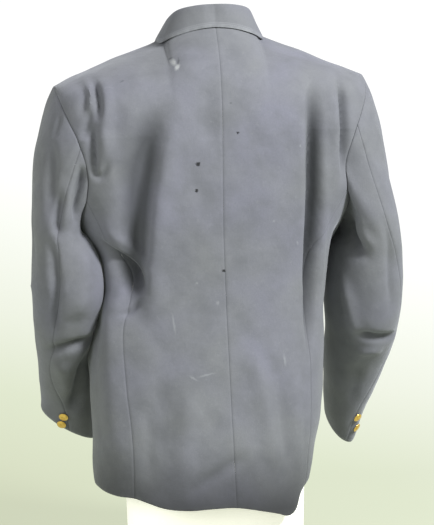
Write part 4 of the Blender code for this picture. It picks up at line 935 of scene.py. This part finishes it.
# The sleeves: each is a top sleeve and an under sleeve, joined down the hindarm and the forearm and eased into the
# armhole over a pad. The hindarm seam runs closed down to the cuff, which is turned up and pressed.
ARM_COLUMNS = ("x", "y", "height", "across", "deep", "turn", "hindarm", "slant", "rise")
ARM_RINGS = {
    "left": (
        (0.2355, 0.006, 0.470, 0.0410, 0.074, -5.0, 80.0, 0.0, 0.0),
        (0.2265, 0.016, 0.425, 0.0510, 0.064, -16.0, 61.0, 0.0, 0.0),
        (0.2270, 0.008, 0.390, 0.0480, 0.059, -16.0, 54.0, 0.0, 0.0),
        (0.2288, -0.009, 0.355, 0.0430, 0.056, -15.0, 53.0, 0.0, 0.0),
        (0.2282, -0.048, 0.315, 0.0400, 0.053, -3.0, 62.0, 0.0, 0.0),
        (0.2170, -0.104, 0.260, 0.0435, 0.049, 14.0, 89.0, 0.30, 0.25),
        (0.2120, -0.150, 0.201, 0.0460, 0.046, 18.0, 104.0, 0.60, 0.52),
    ),
    "right": (
        (0.2400, -0.004, 0.470, 0.0460, 0.073, 26.0, 86.0, 0.0, 0.0),
        (0.2400, -0.012, 0.425, 0.0520, 0.068, 30.0, 74.0, 0.0, 0.0),
        (0.2415, -0.026, 0.385, 0.0535, 0.066, 30.0, 64.0, 0.0, 0.0),
        (0.2440, -0.052, 0.345, 0.0520, 0.060, 26.0, 60.0, 0.0, 0.0),
        (0.2425, -0.088, 0.298, 0.0475, 0.053, 18.0, 68.0, 0.0, 0.0),
        (0.2375, -0.134, 0.240, 0.0350, 0.050, 8.0, 82.0, -0.20, 0.0),
        (0.2360, -0.178, 0.183, 0.0240, 0.049, 2.0, 88.0, -0.50, 0.0),
    ),
}
ARM_CORNER = 2.2
CAP_SHARE = 0.42
CAP_OUT = 0.50
HINDARM_START = {"left": 71.0, "right": 63.0}
FOREARM_ANGLE = -92.0
ARMHOLE_GAP = 0.0002
HEAD_COLUMNS = ("angle", "back_height", "front_height")
SLEEVE_HEAD = (
    (0.0, 0.7310, 0.7310),
    (20.0, 0.7200, 0.7200),
    (45.0, 0.6850, 0.6850),
    (75.0, 0.6200, 0.6300),
    (100.0, 0.5800, 0.5830),
    (120.0, 0.5500, 0.5500),
)

# Folds through three places, each an angle and a share of the way down. The columns are arm, start, middle, end, width
# towards the front of the line, width towards the back of it, and depth.
SLEEVE_FOLDS = (
    ("left", (71.0, 0.150), (84.0, 0.280), (84.0, 0.440), 0.008, 0.008, 0.009),
    ("left", (79.0, 0.090), (92.0, 0.220), (93.0, 0.400), 0.009, 0.009, -0.004),
    ("left", (80.0, 0.020), (92.0, 0.110), (112.0, 0.320), 0.005, 0.008, 0.011),
    ("left", (42.0, 0.080), (62.0, 0.173), (80.0, 0.330), 0.010, 0.010, 0.006),
    ("left", (78.0, 0.370), (55.0, 0.557), (62.0, 0.700), 0.009, 0.009, 0.008),
    ("left", (104.0, 0.430), (95.0, 0.527), (86.0, 0.640), 0.018, 0.018, -0.007),
    ("left", (128.0, 0.280), (128.0, 0.500), (124.0, 0.720), 0.016, 0.014, -0.006),
    ("left", (35.0, 0.750), (82.0, 0.700), (135.0, 0.715), 0.009, 0.009, 0.011),
    ("left", (58.0, 0.730), (86.0, 0.800), (98.0, 0.900), 0.012, 0.012, -0.005),
    ("left", (123.0, 0.710), (116.0, 0.840), (106.0, 0.960), 0.010, 0.017, 0.009),
    ("left", (41.0, 0.010), (45.0, 0.045), (45.0, 0.090), 0.004, 0.005, 0.003),
    ("left", (20.0, 0.200), (24.0, 0.340), (22.0, 0.480), 0.012, 0.012, 0.003),
    ("left", (-60.0, 0.580), (-95.0, 0.640), (-130.0, 0.620), 0.012, 0.012, 0.008),
    ("right", (141.0, 0.080), (148.0, 0.270), (116.0, 0.470), 0.007, 0.020, 0.011),
    ("right", (122.0, 0.120), (126.0, 0.270), (103.0, 0.430), 0.009, 0.009, -0.004),
    ("right", (170.0, 0.470), (152.0, 0.597), (127.0, 0.670), 0.010, 0.010, -0.005),
    ("right", (145.0, 0.650), (105.0, 0.667), (55.0, 0.700), 0.008, 0.008, 0.010),
    ("right", (135.0, 0.725), (111.0, 0.717), (85.0, 0.717), 0.009, 0.009, -0.004),
    ("right", (88.0, 0.220), (96.0, 0.440), (89.0, 0.620), 0.006, 0.006, 0.004),
    ("right", (125.0, 0.740), (112.0, 0.820), (104.0, 0.920), 0.010, 0.014, 0.004),
    ("right", (35.0, 0.100), (40.0, 0.200), (38.0, 0.320), 0.010, 0.010, 0.003),
    ("right", (-60.0, 0.580), (-95.0, 0.630), (-130.0, 0.610), 0.012, 0.012, 0.008),
)
SLEEVE_ROWS = 190
TOP_SLEEVE_COLUMNS = 76
UNDER_SLEEVE_COLUMNS = 66
TOP_SLEEVE_CUT = (0.230, 0.590, 0.097)
UNDER_SLEEVE_CUT = (0.200, 0.540, 0.077)
ARMS = {name: table(ARM_COLUMNS, rows) for name, rows in ARM_RINGS.items()}
HEAD = table(HEAD_COLUMNS, SLEEVE_HEAD)


def arm_ring(side, angle, w):
    """The arm's surface at an angle from outwards towards the back, and a share w of the way down its rings: a
    superellipse square to the arm's centre line, turned inwards, and raised outwards and behind as its table says."""
    arm = ARMS[side_name(side)]
    knots = np.linspace(0, 1, len(arm["x"]))

    def centre(t):
        """The arm's centre line."""
        return np.stack([smooth(t, knots, arm[c]) for c in ("x", "y", "height")], -1)

    here = centre(w)
    down = unit(centre(np.clip(w + 0.02, 0, 1)) - centre(np.clip(w - 0.02, 0, 1)))
    across = unit(np.array([1.0, 0.0, 0.0]) - down[..., :1] * down)
    behind = np.cross(across, down)
    behind = behind * np.where(behind[..., 1:2] < 0, -1.0, 1.0)
    turn = np.radians(smooth(w, knots, arm["turn"]))[..., None]
    wide = across * np.cos(turn) - behind * np.sin(turn)
    long = behind * np.cos(turn) + across * np.sin(turn)
    c, s = np.cos(np.radians(angle)), np.sin(np.radians(angle))
    half_wide, half_long = smooth(w, knots, arm["across"]), smooth(w, knots, arm["deep"])
    reach = (np.abs(c / half_wide) ** ARM_CORNER + np.abs(s / half_long) ** ARM_CORNER) ** (-1 / ARM_CORNER)
    point = here + (reach * c)[..., None] * wide + (reach * s)[..., None] * long
    raised = smooth(w, knots, arm["slant"]) * reach * c + smooth(w, knots, arm["rise"]) * reach * s
    point = point - raised[..., None] * down
    return point * np.array([side, 1.0, 1.0])


def armhole_loop(side, angle):
    """The armhole for each angle of the sleeve, a gap off the panels, on the worn and settled body."""
    under = np.clip((np.abs(angle) - 120) / 120, 0, 0.5)
    k = np.where(angle >= 0, under, 1 - under)
    column = np.where(angle >= 0, smooth(np.abs(angle), HEAD["angle"], HEAD["back_height"]),
                      smooth(np.abs(angle), HEAD["angle"], HEAD["front_height"]))
    x = side * (armhole_x(column) + ARMHOLE_GAP)
    edge = np.where((angle >= 0)[..., None], body_surface(panel_point, x, column)[0],
                    body_surface(front_point, x, column)[0])
    name = side_name(side)
    start = angle_of(panel_point(seam_x(f"back_{name}", UNDERARM_HEIGHT), UNDERARM_HEIGHT))
    end = angle_of(front_point(seam_x(f"front_{name}", UNDERARM_HEIGHT), UNDERARM_HEIGHT))
    dip = UNDERARM_HEIGHT - (UNDERARM_HEIGHT - PIT_HEIGHT) * np.sin(np.pi * k) + ARMHOLE_GAP
    pit = body_surface(ring_point, start + (end - start) * k, dip)[0]
    return np.where((np.abs(angle) > 120)[..., None], pit, edge)


LOOP_ANGLES = np.linspace(-180, 180, 361)
LOOPS = {side: armhole_loop(side, LOOP_ANGLES) for side in (1, -1)}


def sleeve_point(side, angle, v):
    """The smooth sleeve: a Hermite cap from the armhole to the first arm ring, then the arm's rings to the cuff."""
    angle, v = np.broadcast_arrays(np.asarray(angle, float), np.asarray(v, float))
    w = np.clip((v - CAP_SHARE) / (1 - CAP_SHARE), 0, 1)
    arm = arm_ring(side, angle, w)
    turn = (angle + 180) % 360 - 180
    start = np.stack([np.interp(turn, LOOP_ANGLES, LOOPS[side][:, axis]) for axis in range(3)], -1)
    end = arm_ring(side, angle, np.zeros_like(v))
    length = np.linalg.norm(end - start, axis=-1, keepdims=True)
    leave = unit(np.array([side * CAP_OUT, 0.0, -1.0])) * length
    arrive = unit(arm_ring(side, angle, np.full_like(v, 0.03)) - end) * length
    t = np.clip(v / CAP_SHARE, 0, 1)[..., None]
    cap = (start * (1 + 2 * t) * (1 - t) ** 2 + leave * t * (1 - t) ** 2
           + end * t * t * (3 - 2 * t) - arrive * t * t * (1 - t))
    return np.where((v < CAP_SHARE)[..., None], cap, arm)


def hindarm_angle(side, v):
    """Angle of the hindarm seam at a share of the way down the sleeve."""
    arm = ARMS[side_name(side)]
    places = np.concatenate([[0.0], np.linspace(CAP_SHARE, 1, len(arm["x"]))])
    return smooth(v, places, np.concatenate([[HINDARM_START[side_name(side)]], arm["hindarm"]]))


def sleeve_fold_paths(side):
    """Each fold's line on the sleeve, and the direction in which its back width lies."""
    paths = []
    for arm, start, middle, end, front_width, back_width, depth in SLEEVE_FOLDS:
        if arm == side_name(side):
            angle, v = three_places((start, middle, end))
            line = sleeve_point(side, angle, v)
            backwards = unit(sleeve_point(side, angle[4] + 3, v[4]) - sleeve_point(side, angle[4] - 3, v[4]))
            paths.append((line, backwards, front_width, back_width, depth))
    return paths


SLEEVE_PATHS = {side: sleeve_fold_paths(side) for side in (1, -1)}


def sleeve_surface(side, angle, v):
    """Points, outward directions and depths of the folds of the worn sleeve, which has folds and swells."""
    base = sleeve_point(side, angle, v)
    outward = base - sleeve_point(side, angle + 180, v)
    normal = normals_of(lambda a, b: sleeve_point(side, a, b), angle, v, 1.0, 0.004, outward)
    folds = fold_depth(base, SLEEVE_PATHS[side])
    height = swell(base) * ease(v, 0.0, 0.06) - folds
    return base + normal * height[..., None], normal, folds


for side in (1, -1):
    name = side_name(side)
    v = spread(SLEEVE_ROWS)[:, None]
    hindarm = hindarm_angle(side, v)
    forearm = np.full_like(hindarm, FOREARM_ANGLE)
    inset = np.degrees(SEAM_GAP * 0.75 / 0.045)
    pieces = (
        ("top_sleeve", forearm, hindarm, TOP_SLEEVE_COLUMNS, TOP_SLEEVE_CUT),
        ("under_sleeve", hindarm, forearm + 360, UNDER_SLEEVE_COLUMNS, UNDER_SLEEVE_CUT),
    )
    for node, start, end, count, cut in pieces:
        angle = start + inset + (end - start - 2 * inset) * spread(count)[None, :]
        points, outward, folds = sleeve_surface(side, angle, np.broadcast_to(v, angle.shape))
        sleeve = shell(f"{node}_cloth_{name}", points, outward, folds, TWILL, ("start", "end", "bottom"))
        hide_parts(f"{node}_{name}")


# The buttons: stamped gilt brass shells, domed, with a rolled rim and a loop shank sewn to the cloth. Three close
# the front and two stand on each cuff beside the hindarm seam. Gilding stays bright and browns where dirt gathers.
FRONT_BUTTON_RADIUS = 0.0110
CUFF_BUTTON_RADIUS = 0.0074
BUTTON_HEIGHTS = (0.415, 0.320, 0.225)
CUFF_BUTTONS = {            # angle and share down the sleeve of the upper and the lower button
    "left": ((93.0, 0.960), (89.0, 0.988)),
    "right": ((79.0, 0.927), (74.0, 0.957)),
}
BUTTON_SEAT = 0.0005        # gap between the cloth and the shank
BUTTON_SHANK = 0.0015
BUTTON_BACK = 0.1           # the profile's height at the button's back, below which it is the shank
BUTTON_DOME = 1.05          # height of the dome for its radius and its profile
BUTTON_POLE = 0.02          # the first and last rings' radius as a share of the button's
BUTTON_PROFILE = (              # radius as a share of the button's, and height in metres or as a share of it
    (0.00, 0.000), (0.30, 0.000), (0.30, 0.100), (0.90, 0.100), (0.985, 0.115), (1.00, 0.150), (0.985, 0.185),
    (0.93, 0.205), (0.87, 0.195), (0.84, 0.205), (0.80, 0.235), (0.68, 0.300), (0.52, 0.360), (0.34, 0.400),
    (0.17, 0.420), (0.00, 0.425),
)
BUTTON_SIDES = 56


def gilt_brass():
    """Gilded brass, stamped and burnished: a warm metal with a soft shine, and brown tarnish where dirt gathers."""
    material, tree, shader = new_material("gilt brass", Metallic=1.0, Roughness=0.30)
    place = add(tree, "ShaderNodeTexCoord").outputs["Object"]
    dirt = add(tree, "ShaderNodeTexNoise", {"Scale": 260.0, "Detail": 3.0}, {"Vector": place})
    tone = add(tree, "ShaderNodeMix", {"A": linear("#E9C46E"), "B": linear("#A67C35")}, data_type="RGBA")
    share = add(tree, "ShaderNodeMapRange", {"From Min": 0.45, "From Max": 0.75, "To Max": 0.7},
                {"Value": dirt.outputs["Fac"]})
    tree.links.new(share.outputs["Result"], tone.inputs["Factor"])
    tree.links.new(tone.outputs["Result"], shader.inputs["Base Color"])
    dull = add(tree, "ShaderNodeMapRange", {"To Min": 0.22, "To Max": 0.45}, {"Value": dirt.outputs["Fac"]})
    tree.links.new(dull.outputs["Result"], shader.inputs["Roughness"])
    return material


GILT = gilt_brass()


def button(name, node, at, normal, radius):
    """A turned shape: the profile carried round the button's axis, from the middle of its back to the middle of its
    dome. The first and last rings are pulled nearly shut and closed by a small cap."""
    normal = unit(normal)
    across = unit(np.cross(normal, [0.0, 0.0, 1.0]))
    other = np.cross(normal, across)
    profile = np.array(BUTTON_PROFILE)
    knots = np.linspace(0, 1, len(profile))
    reach = np.maximum(profile[:, 0], BUTTON_POLE) * radius
    height = BUTTON_SEAT + np.where(profile[:, 1] <= BUTTON_BACK, profile[:, 1] * BUTTON_SHANK / BUTTON_BACK,
                                    BUTTON_SHANK + (profile[:, 1] - BUTTON_BACK) * radius * BUTTON_DOME)
    turn = 2 * np.pi * np.arange(BUTTON_SIDES) / BUTTON_SIDES
    round_it = np.cos(turn)[:, None] * across + np.sin(turn)[:, None] * other
    rings = at + height[:, None, None] * normal + reach[:, None, None] * round_it[None]
    caps = [list(range(BUTTON_SIDES)), list(range((len(knots) - 1) * BUTTON_SIDES, len(knots) * BUTTON_SIDES))[::-1]]
    faces = grid_faces(len(knots), BUTTON_SIDES, True).tolist() + caps
    piece = put_mesh(name, rings.reshape(-1, 3), faces, GILT, sharp=40.0)
    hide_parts(node)


for number, z in enumerate(BUTTON_HEIGHTS, start=1):
    at, normal, _ = body_surface(front_point, np.array([0.0]), np.array([z]), lift=overlap_lift(1))
    button(f"gilt_front_button_{number}", f"front_button_{number}", at[0], normal[0], FRONT_BUTTON_RADIUS)
for side in (1, -1):
    for (angle, share), place in zip(CUFF_BUTTONS[side_name(side)], ("upper", "lower")):
        at, normal, _ = sleeve_surface(side, np.array([angle]), np.array([share]))
        name = f"cuff_button_{place}_{side_name(side)}"
        button(f"gilt_{name}", name, at[0], normal[0], CUFF_BUTTON_RADIUS)


# The camera stands level behind the jacket, a little to the wearer's left of its centre line, and is held with a
# slight roll. Its angle of view is worked out from the size of one pixel at the form's axis.
CAMERA_AZIMUTH = 171.5
CAMERA_DISTANCE = 2.6
CAMERA_HEIGHT = 0.450
CAMERA_ROLL = -0.8
PIXEL = 0.00154             # metres of the object for one pixel of the 434 by 525 frame
FRAME_HEIGHT = 525
FRAME_OFFSET = 5            # pixels from the frame's middle to the form's axis

turn = np.radians(CAMERA_AZIMUTH)
right, back = np.array([np.cos(turn), np.sin(turn), 0.0]), np.array([np.sin(turn), -np.cos(turn), 0.0])
eye = np.array([0.0, 0.0, CAMERA_HEIGHT]) + right * FRAME_OFFSET * PIXEL + back * CAMERA_DISTANCE
camera = bpy.data.objects.new("camera", bpy.data.cameras.new("camera"))
camera.data.sensor_fit = "VERTICAL"
camera.data.angle = 2 * np.arctan(FRAME_HEIGHT / 2 * PIXEL / CAMERA_DISTANCE)
camera.data.clip_start = 0.01
axes = np.eye(4)
axes[:3] = np.stack([right, [0.0, 0.0, 1.0], back, eye], -1)
camera.matrix_world = Matrix(axes.tolist()) @ Matrix.Rotation(np.radians(CAMERA_ROLL), 4, "Z")
bpy.context.scene.collection.objects.link(camera)
bpy.context.scene.camera = camera


# The studio: a glowing pale paper sweep, white above and faintly green below, with painted light lightening it
# upwards and to the viewer's right, a large soft light high on the viewer's right, a weak one on the left, and an even
# pale sky.
SWEEP_WIDTH = 6.0
SWEEP_NEAR = 2.6
SWEEP_FAR = -1.5
SWEEP_BEND = 0.6
SWEEP_TOP = 3.2
SWEEP_TONES = ((0.00, "#D3D9BE"), (0.16, "#DCE3CB"), (0.30, "#EAEEE0"), (0.55, "#FCFDFA"), (0.75, "#FFFFFF"))
SWEEP_TONE_WAY = (-0.22, 0.0, 1.0)      # painted light: the paper lightens upwards and towards the viewer's right, where the light falls
SWEEP_TONE_START = -0.11
SWEEP_TONE_END = 1.19


def paper():
    """Seamless background paper: matt and even. Its tone follows its height and its place across as painted light,
    lighter upwards and towards the viewer's right, and most of it shines by itself so that no shadow falls hard on it."""
    material, tree, shader = new_material("seamless paper", Roughness=0.95, Specular_IOR_Level=0.1)
    place = add(tree, "ShaderNodeTexCoord").outputs["Object"]
    rise = add(tree, "ShaderNodeVectorMath", {1: SWEEP_TONE_WAY}, {0: place}, operation="DOT_PRODUCT")
    share = add(tree, "ShaderNodeMapRange", {"From Min": SWEEP_TONE_START, "From Max": SWEEP_TONE_END},
                {"Value": rise.outputs["Value"]}).outputs["Result"]
    ramp = add(tree, "ShaderNodeValToRGB", {}, {"Fac": share})
    for k, (stop, code) in enumerate(SWEEP_TONES):
        element = ramp.color_ramp.elements[k] if k < 2 else ramp.color_ramp.elements.new(stop)
        element.position = stop
        element.color = linear(code)
    glow = add(tree, "ShaderNodeEmission", {"Strength": 1.0}, {"Color": ramp.outputs["Color"]})
    out = tree.nodes["Material Output"]
    tree.links.new(ramp.outputs["Color"], shader.inputs["Base Color"])
    both = add(tree, "ShaderNodeMixShader", {"Fac": 0.85}, {1: shader.outputs["BSDF"], 2: glow.outputs["Emission"]})
    tree.links.new(both.outputs["Shader"], out.inputs["Surface"])
    return material


bend = np.linspace(0, np.pi / 2, 24)
line_y = np.concatenate([[SWEEP_NEAR], SWEEP_FAR + SWEEP_BEND * (1 - np.sin(bend)), [SWEEP_FAR]])
line_z = np.concatenate([[0.0], SWEEP_BEND * (1 - np.cos(bend)), [SWEEP_TOP]])
sweep_rows = np.stack([np.zeros_like(line_y), line_y, line_z], -1)
sweep_points = sweep_rows[:, None, :] + np.array([[-1.0, 0, 0], [1.0, 0, 0]]) * SWEEP_WIDTH / 2
sweep_mesh = bpy.data.meshes.new("paper_sweep")
sweep_mesh.from_pydata(sweep_points.reshape(-1, 3).tolist(), [], grid_faces(len(line_y), 2).tolist())
sweep_mesh.shade_smooth()
sweep_mesh.materials.append(paper())
sweep = bpy.data.objects.new("paper_sweep", sweep_mesh)
bpy.context.scene.collection.objects.link(sweep)

LIGHTS = (                      # name, place, size and power of each soft light, aimed at the chest
    ("key", (-1.6, 1.9, 2.2), 0.8, 168.0),
    ("fill", (1.9, 1.6, 1.1), 1.6, 30.0),
)
AIM = np.array([0.0, 0.0, 0.45])
for name, place, size, power in LIGHTS:
    lamp = bpy.data.objects.new(name, bpy.data.lights.new(name, "AREA"))
    lamp.data.shape = "DISK"
    lamp.data.size = size
    lamp.data.energy = power
    facing = unit(np.array(place) - AIM)
    sideways = unit(np.cross([0.0, 0.0, 1.0], facing))
    axes = np.eye(4)
    axes[:3] = np.stack([sideways, np.cross(facing, sideways), facing, np.array(place)], -1)
    lamp.matrix_world = Matrix(axes.tolist())
    bpy.context.scene.collection.objects.link(lamp)

sky = bpy.data.worlds.new("pale sky")
sky.use_nodes = True
sky.node_tree.nodes["Background"].inputs["Color"].default_value = linear("#F3F2F0")
sky.node_tree.nodes["Background"].inputs["Strength"].default_value = 0.32
bpy.context.scene.world = sky
bpy.context.scene.view_settings.view_transform = "Standard"
